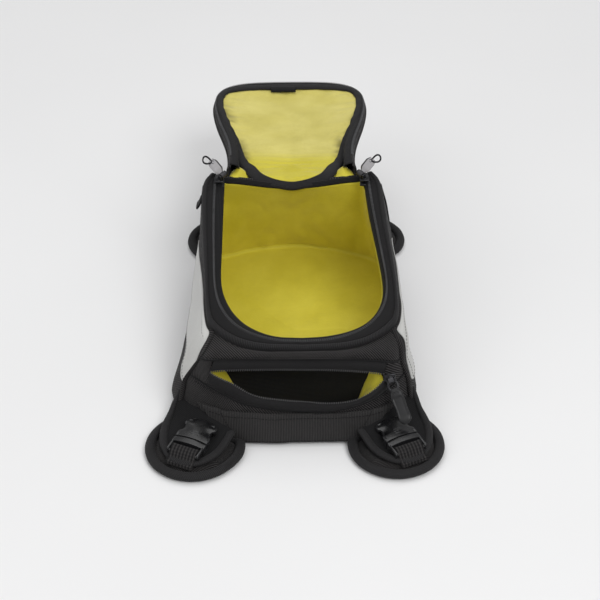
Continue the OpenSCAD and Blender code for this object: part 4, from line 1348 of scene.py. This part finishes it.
RIM_M = np.array([[1, 0, 0], [0, C10, -S10], [0, S10, C10]])
def rot_z(a):
    c, s = math.cos(a), math.sin(a)
    return np.array([[c, -s, 0], [s, c, 0], [0, 0, 1]])
def rot_y(a):
    c, s = math.cos(a), math.sin(a)
    return np.array([[c, 0, s], [0, 1, 0], [-s, 0, c]])
def rot_x(a):
    c, s = math.cos(a), math.sin(a)
    return np.array([[1, 0, 0], [0, c, -s], [0, s, c]])


slider_x = 73 + (10 + 9) * (78 - 73) / (215.5 - 38 + 10)
RIM_O = np.array([0, 95.0, 121.0])


def to_rim(V, x, y, n):
    return place(np.asarray(V) + np.array([x, y, n]), RIM_M, RIM_O)


def lid_slider(s):
    p = Parts()
    def narrow(V):
        k = 1 - 0.22 * np.clip((V[:, 1] + 6) / 12, 0, 1)
        V = V.copy(); V[:, 0] *= k
        return V
    for size, r, cen, tp in (((9.6, 11.4, 2.2), 1.05, (-3.4, 0, -0.3), narrow), ((7.4, 8.6, 2.2), 1.0, (-4.3, -1.7, -5.9), narrow), ((1.8, 4.5, 4.6), 0.4, (-3.5, 0.25, -3.0), None),
                             ((3.2, 9.5, 1.2), 0.5, (-3.2, 0.2, 1.0), None)):
        V, F = rbox(size, r, 3, (0, 0, 0), tp)
        V = V + np.array(cen)
        p.add(to_rim(V, slider_x, -9, 0), F)
    M = rot_z(math.radians(39.7))
    for t in (-1, 1):
        V, F = rbox((4.4, 1.4, 6.0), 0.6, 3, (0, t * 4.2, 3.2))
        p.add(to_rim(place(V, M, (-7, 0, 0)), slider_x, -9, 0), F)
    V, F, _ = sweep_data(np.array([[0, y, 4.2] for y in np.linspace(-4.6, 4.6, 7)]), ring(1.15, 14), (0, 0, 1))
    p.add(to_rim(place(V, M, (-7, 0, 0)), slider_x, -9, 0), F)
    V = np.vstack(p.V)
    if s < 0:
        p.V = [flipx(v) for v in p.V]; p.F = [f[::-1] for f in p.F]
    nm = "right" if s > 0 else "left"
    o = fix_normals(p.obj(f"{nm}_lid_slider", [METAL]))
    put(o, f"{nm}_lid_slider", "slider_metal", f"{nm}_lid_slider")


def lid_pull(s):
    """Moulded tab, pale below and dark above, with a cord loop at its end."""
    p = Parts()
    M = rot_z(math.radians(39.7)) @ rot_y(math.radians(-35))
    def fin(V):
        return to_rim(place(V, M, (0, 0, 0)), slider_x - 7, -9, 4.2)
    # eye round the pin
    a = np.linspace(0, 2 * math.pi, 20, endpoint=False)
    path = np.stack([2.15 * np.cos(a), 0 * a, 2.15 * np.sin(a)], 1)
    V, F, _ = sweep_data(path, np.array([(0.55, 2.7), (-0.5, 2.9), (-0.6, 0), (-0.5, -2.9), (0.55, -2.7)]), (0, 1, 0), True)
    p.add(fin(V), F, 1)
    # tab: a lofted tongue with a crowned pale face and a dark back and shoulder
    xs = np.linspace(1.6, 18.4, 24)
    half = 2.8 + 2.9 * sstep(2, 7, xs) - 2.2 * sstep(13.5, 18.6, xs) ** 1.5
    th = 1.5 + 0.9 * sstep(2, 8, xs) - 1.0 * sstep(15, 18.6, xs)
    ts = np.linspace(-1, 1, 15)
    for up_ in (1, -1):
        rows = []
        for t in ts:
            prof = (1 - abs(t) ** 2.6)
            ridge = 0.5 * math.exp(-((t - 0.38) / 0.16) ** 2) if up_ > 0 else 0.0
            rows.append(np.stack([xs, t * half * (0.98 if up_ < 0 else 1.0), up_ * (th * prof ** 0.6 + ridge * sstep(3, 8, xs))], 1))
        Sx = np.stack(rows, 1)
        V, F, uv = grid_data(Sx)
        V = fin(V)
        nF = len(F)
        col = np.arange(nF) % (len(ts) - 1)
        pale = (up_ > 0) & (ts[col] < 0.3) & (np.arange(nF) // (len(ts) - 1) > 1)
        uvf = np.asarray(uv).reshape(nF, 4, 2)
        for k, sel in ((0, pale), (1, ~pale)):
            if sel.any():
                p.add(V, F[sel], k, uvf[sel].reshape(-1, 2))
    # hole at the outer end and the cord loop through it
    V, F, _ = sweep_data(np.stack([15.6 + 1.5 * np.cos(a), -0.8 + 1.5 * np.sin(a), 0 * a + 1.95], 1), ring(0.5, 8), (0, 0, 1), True)
    p.add(fin(V), F, 1)
    a = np.linspace(0.0, 2 * math.pi, 40, endpoint=False)
    lx, ly = 4.6 * np.cos(a), 3.5 * np.sin(a) * (1 + 0.25 * np.cos(a))
    loop = np.stack([20.2 + 0.8 * lx + 0.6 * ly, -4.0 - 0.6 * lx + 0.8 * ly, 1.4 + 0.4 * np.sin(2 * a)], 1)
    V, F, uv = sweep_data(loop, ring(0.85, 10), (0, 0, 1), True)
    p.add(fin(V), F, 2, uv)
    if s < 0:
        p.V = [flipx(v) for v in p.V]
    nm = "right" if s > 0 else "left"
    o = fix_normals(p.obj(f"{nm}_lid_pull", [PGREY, PDARK, CORD]))
    put(o, f"{nm}_lid_pull", "pull_grey", f"{nm}_lid_pull")


for s in (-1, 1):
    lid_slider(s)
    lid_pull(s)

FACE_M = np.array([[1, 0, 0], [0, CF, SF], [0, -SF, CF]])
FACE_O = np.array([0, -160.0, 0])


def to_face(V, x, y, z):
    return place(np.asarray(V) + np.array([x, y, z]), FACE_M, FACE_O)


def pocket_slider():
    p = Parts()
    def body(V):
        V = V.copy(); V[:, 2] *= 1 - 0.3 * np.clip((-V[:, 0] + 5) / 10, 0, 1)
        return V
    for size, r, cen, tp in (((10.4, 2.4, 8.5), 0.8, (0, -1.0, 57.75), body), ((9, 1.8, 8.4), 0.7, (0, 4.3, 57.7), body), ((2.4, 4.0, 3.0), 0.5, (0, 2.0, 55.0), None),
                             ((7.6, 1.6, 2.6), 0.6, (-0.4, -2.8, 57.4), None)):
        V, F = rbox(size, r, 3, (0, 0, 0), tp)
        p.add(to_face(V + np.array(cen), 81, 0, 0), F)
    M = rot_y(math.radians(-20))
    for t in (-1, 1):
        V, F = rbox((1.2, 5.4, 3.6), 0.5, 3, (t * 3.6, 0.9, 0))
        p.add(to_face(place(V, M, (1, -5.6, 57)), 81, 0, 0), F)
    V, F, _ = sweep_data(np.array([[q, 0, 0] for q in np.linspace(-4.2, 4.2, 7)]), ring(1.1, 14), (0, 0, 1))
    p.add(to_face(place(V, M, (1, -5.6, 57)), 81, 0, 0), F)
    # crown loop over the body
    a = np.linspace(0, math.pi, 14)
    V, F, _ = sweep_data(np.stack([-4.4 * np.cos(a), -2.0 - 2.3 * np.sin(a), 0 * a + 59.6], 1), flat(2.2, 1.1), (0, 0, 1))
    p.add(to_face(V, 81, 0, 0), F)
    o = fix_normals(p.obj("pocket_slider", [METAL]))
    put(o, "pocket_slider", "slider_metal", "pocket_slider")


def pocket_pull():
    p = Parts()
    M = rot_y(math.radians(-20)) @ rot_x(math.radians(-12))
    def fin(V):
        return to_face(place(V, M, (1, -5.6, 57)), 81, 0, 0)
    # eye on the pin, then a link ring, then the moulded tab
    a = np.linspace(0, 2 * math.pi, 20, endpoint=False)
    V, F, _ = sweep_data(np.stack([0 * a, 2.0 * np.cos(a), 2.0 * np.sin(a)], 1), np.array([(0.5, 2.2), (-0.45, 2.4), (-0.55, 0), (-0.45, -2.4), (0.5, -2.2)]), (1, 0, 0), True)
    p.add(fin(V), F, 1)
    a = np.linspace(0, 2 * math.pi, 32, endpoint=False)
    V, F, _ = sweep_data(np.stack([4.1 * np.sin(a), 0.3 * np.sin(2 * a), -4.9 + 4.9 * np.cos(a)], 1), ring(1.15, 10), (0, 1, 0), True)
    p.add(fin(V), F, 1)
    zs = np.linspace(-7.6, -39.8, 40)
    half = 3.4 + 2.4 * sstep(-8, -13, zs) - 0.4 * sstep(-18, -26, zs) + 0.3 * sstep(-26, -33, zs) - 3.6 * sstep(-35.5, -40.4, zs) ** 1.6
    th = 1.25 + 0.75 * sstep(-8, -13, zs) - 0.9 * sstep(-37, -40.2, zs)
    for up_ in (1, -1):
        rows = []
        for t in np.linspace(-1, 1, 17):
            prof = (1 - abs(t) ** 5) ** 0.6
            z = th * prof
            if up_ < 0:      # shallow framed panel on the front
                inset = sstep(0.86, 0.7, abs(t)) if False else (1 - float(sstep(0.66, 0.78, abs(t))))
                pan = inset * sstep(-14.5, -16.0, zs) * (1 - sstep(-33.5, -35, zs))
                z = z - 0.55 * pan
            rows.append(np.stack([t * half, up_ * z, zs], 1))
        V, F, uv = grid_data(np.stack(rows, 1))
        p.add(fin(V), F, 0, uv)
    for z in (-10.4, -11.9):
        V, F = rbox((6.8, 0.7, 0.7), 0.3, 2, (0, -1.95, z))
        p.add(fin(V), F, 0)
    o = fix_normals(p.obj("pocket_pull", [PBLACK, METAL]))
    put(o, "pocket_pull", "pull_black", "pocket_pull")


pocket_slider()
pocket_pull()

# ------------------------------------------------------------------ wings
NWO, NWX, NWY = np.array([84.0, -136.0]), np.array([-0.67573, -0.73716]), np.array([0.73716, -0.67573])
FWO, FWX, FWY = np.array([61.5, 124.0]), np.array([0.92267, -0.38559]), np.array([0.38559, 0.92267])


def wingP(which, s, x, y, z):
    O, X, Y = (NWO, NWX, NWY) if which == "near" else (FWO, FWX, FWY)
    x, y, z = np.broadcast_arrays(*[np.asarray(a, float) for a in (x, y, z)])
    q = pts(O[0] + x * X[0] + y * Y[0], O[1] + x * X[1] + y * Y[1], z)
    if s < 0:
        q[..., 0] *= -1
    return q


def wing_reach(which, R):
    """How far the wing reaches from its centre before it meets the base, by direction, in wing coordinates."""
    c = np.array([21.0, 23.0]) if which == "near" else np.array([0.0, 28.0])
    O, X, Y = (NWO, NWX, NWY) if which == "near" else (FWO, FWX, FWY)
    loc = np.stack([(BASE - O) @ X, (BASE - O) @ Y], 1)
    Q = np.roll(loc, -1, 0)
    th = np.linspace(0, 2 * math.pi, 144, endpoint=False)
    out = np.full(len(th), R)
    for i, a in enumerate(th):
        d = np.array([math.cos(a), math.sin(a)])
        e = Q - loc
        P = loc - c
        den = d[0] * e[:, 1] - d[1] * e[:, 0]
        den[np.abs(den) < 1e-9] = 1e-9
        tt = (P[:, 0] * e[:, 1] - P[:, 1] * e[:, 0]) / den
        uu = (P[:, 0] * d[1] - P[:, 1] * d[0]) / den
        ok = (uu >= 0) & (uu <= 1) & (tt > 0)
        if ok.any():
            out[i] = min(R, tt[ok].min() - 0.2)
    for _ in range(2):
        out = np.minimum(out, (np.roll(out, 1) + 2 * out + np.roll(out, -1)) / 4)
    return c, th, out


def make_wing(which, s):
    nm = f"{which}_{'right' if s > 0 else 'left'}"
    body = f"{nm}_wing"
    R = 42.6 if which == "near" else 42.0
    shift = np.array([(-0.6 if s > 0 else -2.0), 0.5, 0]) if which == "near" else np.array([5.0 if s > 0 else 5.4, 0, 0])
    c, th, reach = wing_reach(which, R)

    def settle(y):
        # the soft wing lies a little off its drawn place, more so away from the bag
        return shift * sstep(-6, 22, y)[..., None]

    free = sstep(R - 5, R - 1, reach)             # 1 along the free edge, 0 where it meets the bag
    # padded centre: top and bottom skins as one closed shell
    prof_top = [(0.0, 6.3), (0.2, 6.3), (0.4, 6.15), (0.55, 6.05), (0.66, 5.85), (0.72, 5.0), (0.76, 3.6), (0.79, 2.6), (0.84, 2.5), (0.9, 3.0), (0.95, 3.0)]
    prof_bot = [(0.95, 1.6), (0.88, 0.7), (0.7, 0.5), (0.4, 0.5), (0.0, 0.5)]
    rows = []
    for k, z in prof_top + prof_bot:
        r = reach * k
        q = c + np.stack([np.cos(th), np.sin(th)], 1) * r[:, None]
        zz = np.full(len(th), z)
        rows.append(np.column_stack([q, zz]))
    A = np.stack(rows, 1)
    W3 = wingP(which, s, A[..., 0], A[..., 1], A[..., 2]) + settle(A[..., 1])
    bumpz = nz(W3, 0.045, 161.0 + s) * 0.7 * (A[..., 2] > 3.5)
    W3[..., 2] += bumpz
    W3[:, 0] = W3[:, 0].mean(0); W3[:, -1] = W3[:, -1].mean(0)
    o = sheet_obj(f"{nm}_wing_pad", W3, [SHELL], 0, away=tuple(wingP(which, s, c[0], c[1], 3.2)), cu=True, merge=True)
    put(o, None, "shell_fabric", f"{nm}_wing_pad")
    a, b = wingP(which, s, 0, 0.3, 3) * MM, wingP(which, s, 0, 7.0, 3) * MM
    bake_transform(o)
    # rolled binding along the edge
    prof = []
    for q in np.linspace(0, 2 * math.pi, 16, endpoint=False):
        prof.append((-4.4 + 4.4 * math.cos(q) * (1 - 0.06 * math.sin(q)), 3.8 + 3.6 * math.sin(q)))
    prof = np.array(prof)
    rows = []
    for dx, z in prof:
        r = reach + dx
        q = c + np.stack([np.cos(th), np.sin(th)], 1) * r[:, None]
        rows.append(np.column_stack([q, np.full(len(th), max(z, 0.3))]))
    A = np.stack(rows, 1)
    Bn = wingP(which, s, A[..., 0], A[..., 1], A[..., 2]) + settle(A[..., 1])
    Bn[..., 2] += 0.35 * nz(Bn, 0.07, 171.0 + s) * (A[..., 2] > 3)
    V, F, uv = grid_data(Bn, True, True)
    o = fix_normals(new_obj(f"{nm}_wing_binding", V, F, TAPE, uv))
    put(o, None, "trim_tape", f"{nm}_wing_binding")
    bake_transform(o)
    # seam stitching inside the roll
    q = c + np.stack([np.cos(th), np.sin(th)], 1) * (reach - 7.6)[:, None]
    C = wingP(which, s, q[:, 0], q[:, 1], 6.1) + settle(q[:, 1])
    P, Dd = along(np.vstack([C, C[:1]]), 3.0)
    V, F = dashes(P, Dd, (0, 0, 1), 2.0, 0.3, 0.8)
    o = new_obj(f"{nm}_wing_stitching", V, F, THREAD)
    put(o, None, "trim_tape")
    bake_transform(o)
    return body, a, b


for which in ("near", "far"):
    for s in (-1, 1):
        make_wing(which, s)

LEAF = crom([(-35, -4), (-26, 14), (-13, 34), (1, 46.5), (15, 52.5), (27.5, 53.5), (38.5, 48), (45.5, 38), (47.5, 25), (45, 11), (41, -4)], 12)


def leaf_z(x, y):
    """Top of the loose upper layer: it comes down off the bag's corner on to the pad."""
    t = sstep(-5, 17, y)
    k = 1 - 0.45 * sstep(5, 36, x)
    return 9.4 + 12.5 * k * (1 - t) - 0.4 * sstep(30, 54, y)


def make_leaf(s):
    nm = f"near_{'right' if s > 0 else 'left'}"
    n = 80
    E = resample(LEAF, n)
    rows = []
    base_line = np.column_stack([np.linspace(-35, 41, n), np.full(n, -4.0)])
    for t in np.linspace(0, 1, 26):
        q = base_line + (E - base_line) * t
        rows.append(np.column_stack([q, leaf_z(q[:, 0], q[:, 1])]))
    A = np.stack(rows, 1)
    W3 = wingP("near", s, A[..., 0], A[..., 1], A[..., 2])
    W3[..., 2] += 0.5 * nz(W3, 0.06, 181.0 + s)
    # the loose upper layer uses the darker plain cloth instead of the shell cloth: painted shade in its hollow round
    # the buckle
    o = sheet_obj(f"{nm}_leaf", W3, [PLAIN], 1.8, away=tuple(wingP("near", s, 15, 20, -60)))
    put(o, None, "shell_fabric", f"{nm}_leaf")
    a, b = wingP("near", s, 0, 0.3, 3) * MM, wingP("near", s, 0, 7.0, 3) * MM
    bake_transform(o)
    path = wingP("near", s, E[:, 0], E[:, 1], leaf_z(E[:, 0], E[:, 1]) - 0.7)
    inw = np.array([13.0, 20.0]) - E
    inw /= np.linalg.norm(inw, axis=1, keepdims=True)
    rows = []
    for q in np.linspace(0, 2 * math.pi, 14, endpoint=False):
        dx, dz_ = 2.9 - 3.5 * math.cos(q), 2.5 * math.sin(q)
        m = E + inw * dx
        rows.append(wingP("near", s, m[:, 0], m[:, 1], leaf_z(m[:, 0], m[:, 1]) + 0.1 + dz_))
    Bn = np.stack(rows, 1)
    Bn[..., 2] += 0.4 * nz(Bn, 0.07, 191.0 + s)
    V, F, uv = grid_data(Bn, False, True)
    o = fix_normals(new_obj(f"{nm}_leaf_binding", V, F, TAPE, uv))
    put(o, None, "trim_tape")
    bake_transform(o)


for s in (-1, 1):
    make_leaf(s)

# ------------------------------------------------------------------ buckles
BX, BZ = 27.0, 9.5


def in_wing(V, s):
    V = np.asarray(V, float)
    return wingP("near", s, V[..., 0], V[..., 1], V[..., 2])


BT = math.radians(-23)


def in_buckle(V, s):
    """Buckle coordinates: it lies askew on the wing."""
    V = np.asarray(V, float)
    x, y = V[..., 0] - BX, V[..., 1] - 44.5
    return wingP("near", s, BX + x * math.cos(BT) - y * math.sin(BT), 39.5 + x * math.sin(BT) + y * math.cos(BT), V[..., 2])


def arch_plate(x0, x1, ys, xw, z_mid, drop, th, n=21):
    """A plate arched across its width: ys and half-widths xw along it."""
    ys, xw = np.asarray(ys, float), np.asarray(xw, float)
    t = np.linspace(-1, 1, n)
    rows = []
    X = BX + t[None] * xw[:, None]
    Y = np.broadcast_to(ys[:, None], X.shape)
    Zt = z_mid - drop * np.abs(t[None]) ** 2.2 + 0 * X
    top = np.stack([X, Y, Zt], -1)
    botm = np.stack([X, Y, Zt - th], -1)
    # closed band: top left to right, then bottom right to left
    loop = np.concatenate([top, botm[:, ::-1]], 1)
    V, F, uv = grid_data(loop, False, True)
    F = [list(f) for f in F]
    m = loop.shape[1]
    uv = list(map(tuple, uv))
    a = list(range(m)); b = [len(V) - m + i for i in range(m)]
    F += [a[::-1], b]
    uv += [(0, 0)] * (2 * m)
    return V, F, uv


def socket(s):
    nm = f"near_{'right' if s > 0 else 'left'}"
    p = Parts()
    ys = np.array([10, 10.6, 12, 14, 16.2, 17.4, 19, 22, 25, 26.6, 27.8, 30, 32.4, 33.6, 34.0])
    w = np.array([9.5, 12.2, 13.6, 14.4, 14.9, 14.2, 12.4, 11.8, 12.4, 14.2, 14.9, 15.0, 15.0, 14.8, 14.4])
    V, F, uv = arch_plate(0, 0, ys, w, 19.6, 1.9, 2.1)
    p.add(in_buckle(V, s), F, 0, uv)
    V, F, uv = arch_plate(0, 0, ys, w * 0.985, 11.6, 0.0, 2.0)
    p.add(in_buckle(V, s), F, 0, uv)
    for size, r, cen in (((25, 3.2, 8.6), 1.2, (BX, 12.2, 14.6)), ((2.2, 5.5, 8.0), 0.7, (BX - 13.6, 31, 14.2)), ((2.2, 5.5, 8.0), 0.7, (BX + 13.6, 31, 14.2)),
                         ((2.0, 3.4, 8.0), 0.6, (BX - 13.2, 15.2, 14.2)), ((2.0, 3.4, 8.0), 0.6, (BX + 13.2, 15.2, 14.2)),
                         ((8.5, 1.2, 0.7), 0.3, (BX, 29.4, 19.4)), ((8.5, 1.2, 0.7), 0.3, (BX, 27.0, 19.4)), ((6.5, 1.2, 0.7), 0.3, (BX, 24.6, 19.4))):
        V, F = rbox(size, r, 3, cen)
        p.add(in_buckle(V, s), F, 0)
    # bar and loop of webbing that hold the socket to the upper layer
    V, F, _ = sweep_data(np.array([[x, 8.6, 13.2] for x in np.linspace(BX - 13, BX + 13, 9)]), ring(1.7, 14), (0, 0, 1))
    p.add(in_buckle(V, s), F, 0)
    for t in (-1, 1):
        V, F = rbox((2.2, 5.0, 3.6), 0.8, 3, (BX + t * 13.0, 9.8, 13.2))
        p.add(in_buckle(V, s), F, 0)
    o = fix_normals(p.obj(f"{nm}_socket", [BUCKLE]))
    put(o, f"{nm}_wing", "buckle", f"{nm}_socket")
    # anchor loop
    yz = crom([(3.2, 13.2), (5.6, 14.6), (8.4, 15.9), (10.4, 14.9), (10.8, 13.2), (9.6, 11.4), (7.0, 11.0), (3.6, 11.9)], 8)
    rows = []
    for x in np.linspace(BX - 11.6, BX + 11.6, 16):
        rows.append(in_buckle(np.column_stack([np.full(len(yz), x), yz]), s))
    S = np.stack(rows, 1)
    o = sheet_obj(f"{nm}_socket_loop", S, [STRAP], 1.2, away=tuple(in_buckle((BX, 8, 13), s)))
    put(o, f"{nm}_wing", "webbing")


def clip(s):
    side = "right" if s > 0 else "left"
    p = Parts()
    # front bar, with a crowned top
    ys = np.array([35.0, 35.4, 36.4, 38.4, 40.0, 40.6])
    w = np.array([14.2, 14.8, 15.0, 15.0, 15.0, 14.8])
    V, F, uv = arch_plate(0, 0, ys, w, 19.0, 1.7, 7.2)
    p.add(in_buckle(V, s), F, 0, uv)
    for t in (-1, 1):
        V, F = rbox((2.3, 12.4, 6.6), 1.0, 3, (BX + t * 13.9, 44.6, 14.3))
        p.add(in_buckle(V, s), F, 0)
    for y, r in ((44.5, 1.6), (49.4, 1.25)):
        V, F, _ = sweep_data(np.array([[x, y, 14.5] for x in np.linspace(BX - 14, BX + 14, 13)]), ring(r, 14, r * 1.25), (0, 0, 1))
        p.add(in_buckle(V, s), F, 0)
    V, F = rbox((4.0, 18.0, 4.4), 1.0, 3, (BX, 27.2, 14.5))
    p.add(in_buckle(V, s), F, 0)
    o = fix_normals(p.obj(f"{side}_clip", [BUCKLE]))
    put(o, f"{side}_clip", "buckle", f"{side}_clip")
    for t, pn in ((1, "inner"), (-1, "outer")):
        q = Parts()
        path = crom([(BX + t * 8.2, 37.2, 14.5), (BX + t * 8.3, 33, 14.5), (BX + t * 9.2, 28, 14.5), (BX + t * 10.3, 24, 14.5), (BX + t * 10.4, 20.5, 14.5), (BX + t * 8.8, 18.2, 14.5)], 8)
        sc = np.interp(np.linspace(0, 1, len(path)), [0, 0.45, 0.7, 0.9, 1], [0.85, 0.9, 1.25, 1.2, 0.6])
        V, F, _ = sweep_data(path, ring(1.75, 14, 2.2), (0, 0, 1), False, True, sc)
        q.add(in_buckle(V, s), F, 0)
        V, F = rbox((2.6, 6.4, 4.4), 0.9, 3, (BX + t * 11.2, 22.2, 14.5))
        q.add(in_buckle(V, s), F, 0)
        o = fix_normals(q.obj(f"{side}_clip_{pn}_prong", [BUCKLE]))
        put(o, f"{side}_clip_{pn}_prong", "buckle", f"{side}_clip_{pn}_prong")


def straps(s):
    side = "right" if s > 0 else "left"
    nm = f"near_{side}"
    # webbing round the clip's bar, down over the edge of the upper layer and sewn to the pad
    yz = crom([(53.0, 10.4), (49.8, 11.6), (46.6, 12.0), (44.5, 11.9), (42.6, 12.8), (42.2, 14.6), (43.0, 16.4), (44.8, 17.2), (46.8, 17.0), (49.4, 15.6), (51.8, 12.9), (54.2, 10.6), (56.6, 9.6), (59.0, 9.2)], 8)
    rows = []
    for x in np.linspace(BX - 12.0, BX + 12.0, 18):
        e = 0.25 * math.sin(x * 0.9)
        rows.append(in_buckle(np.column_stack([np.full(len(yz), x), yz + np.array([0, e * 0.3])]), s))
    S = np.stack(rows, 0)
    o = sheet_obj(f"{side}_clip_strap", S, [STRAP], 1.3, away=tuple(in_buckle((BX, 46, 14.4), s)), offset=0.0)
    put(o, None, "webbing", f"{side}_clip_strap")
    a = in_buckle((BX, 58.2, 10), s) * MM
    b = in_buckle((BX, 50.0, 10), s) * MM
    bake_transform(o)
    # sewn end
    p = Parts()
    ys = np.linspace(50.5, 59.6, 12)
    rows = []
    for x in np.linspace(BX - 12.2, BX + 12.2, 14):
        rows.append(in_buckle(np.column_stack([np.full(12, x), ys, 8.3 - 0.1 * (ys - 47) * 0.2 + 0 * ys]), s))
    S2 = np.stack(rows, 0)
    o = sheet_obj(f"{nm}_strap", S2, [STRAP], 1.5, away=tuple(in_buckle((BX, 54, -40), s)), offset=0.0)
    put(o, f"{nm}_wing", "webbing", f"{nm}_strap")


for s in (-1, 1):
    socket(s)
    clip(s)
    straps(s)

# ------------------------------------------------------------------ the pieces of the frame that stay
for nme in ("near_left_magnet", "near_right_magnet", "far_left_magnet", "far_right_magnet"):
    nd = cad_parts[nme]
    ob = nd if isinstance(nd, bpy.types.Object) else bpy.data.objects[nme]
    ob.data.materials.clear()
    ob.data.materials.append(MAGNET)

# ------------------------------------------------------------------ floor and light
fl_m = Mat("floor")
nn_ = fl_m.noise("Object", 3, 2.0, 0.5)
fl_m.set(Specular_IOR_Level=0.1)
fl_mat = fl_m.finish(fl_m.ramp(nn_, [(0.3, srgb(236, 236, 236)), (0.7, srgb(238, 238, 238))]), fl_m.bump(nn_, 0.02, 0.0005),
                     fl_m.ramp(nn_, [(0.3, (0.9,) * 3 + (1,)), (0.7, (0.95,) * 3 + (1,))]))
g_ = np.linspace(-6000, 6000, 9)
FX = pts(g_[:, None] + 0 * g_[None], g_[None] + 0 * g_[:, None], -0.6 + 0 * g_[:, None] * g_[None])
V, F, uv = grid_data(FX)
floor = new_obj("floor", V, F, fl_mat, uv)


def area(name, loc, target, size, energy, colour=(1, 1, 1)):
    d = bpy.data.lights.new(name, "AREA")
    d.shape, d.size, d.size_y, d.energy, d.color = "RECTANGLE", size[0], size[1], energy, colour
    o = bpy.data.objects.new(name, d)
    o.location = loc
    o.rotation_euler = (Vector(target) - Vector(loc)).to_track_quat("-Z", "Y").to_euler()
    scene.collection.objects.link(o)
    return o


area("key", (0.9, -1.5, 1.9), (0, 0, 0.05), (1.2, 1.2), 27)
area("fill", (-1.5, -1.0, 1.3), (0, 0, 0.05), (1.6, 1.6), 9)
area("top", (0.0, 0.9, 2.3), (0, 0.25, 0.05), (2.4, 2.4), 24)
world = bpy.data.worlds.new("studio")
scene.world = world
world.use_nodes = True
bg = world.node_tree.nodes.get("Background")
bg.inputs[0].default_value = (0.95, 0.95, 0.96, 1)
bg.inputs[1].default_value = 0.38
scene.view_settings.view_transform = "Standard"
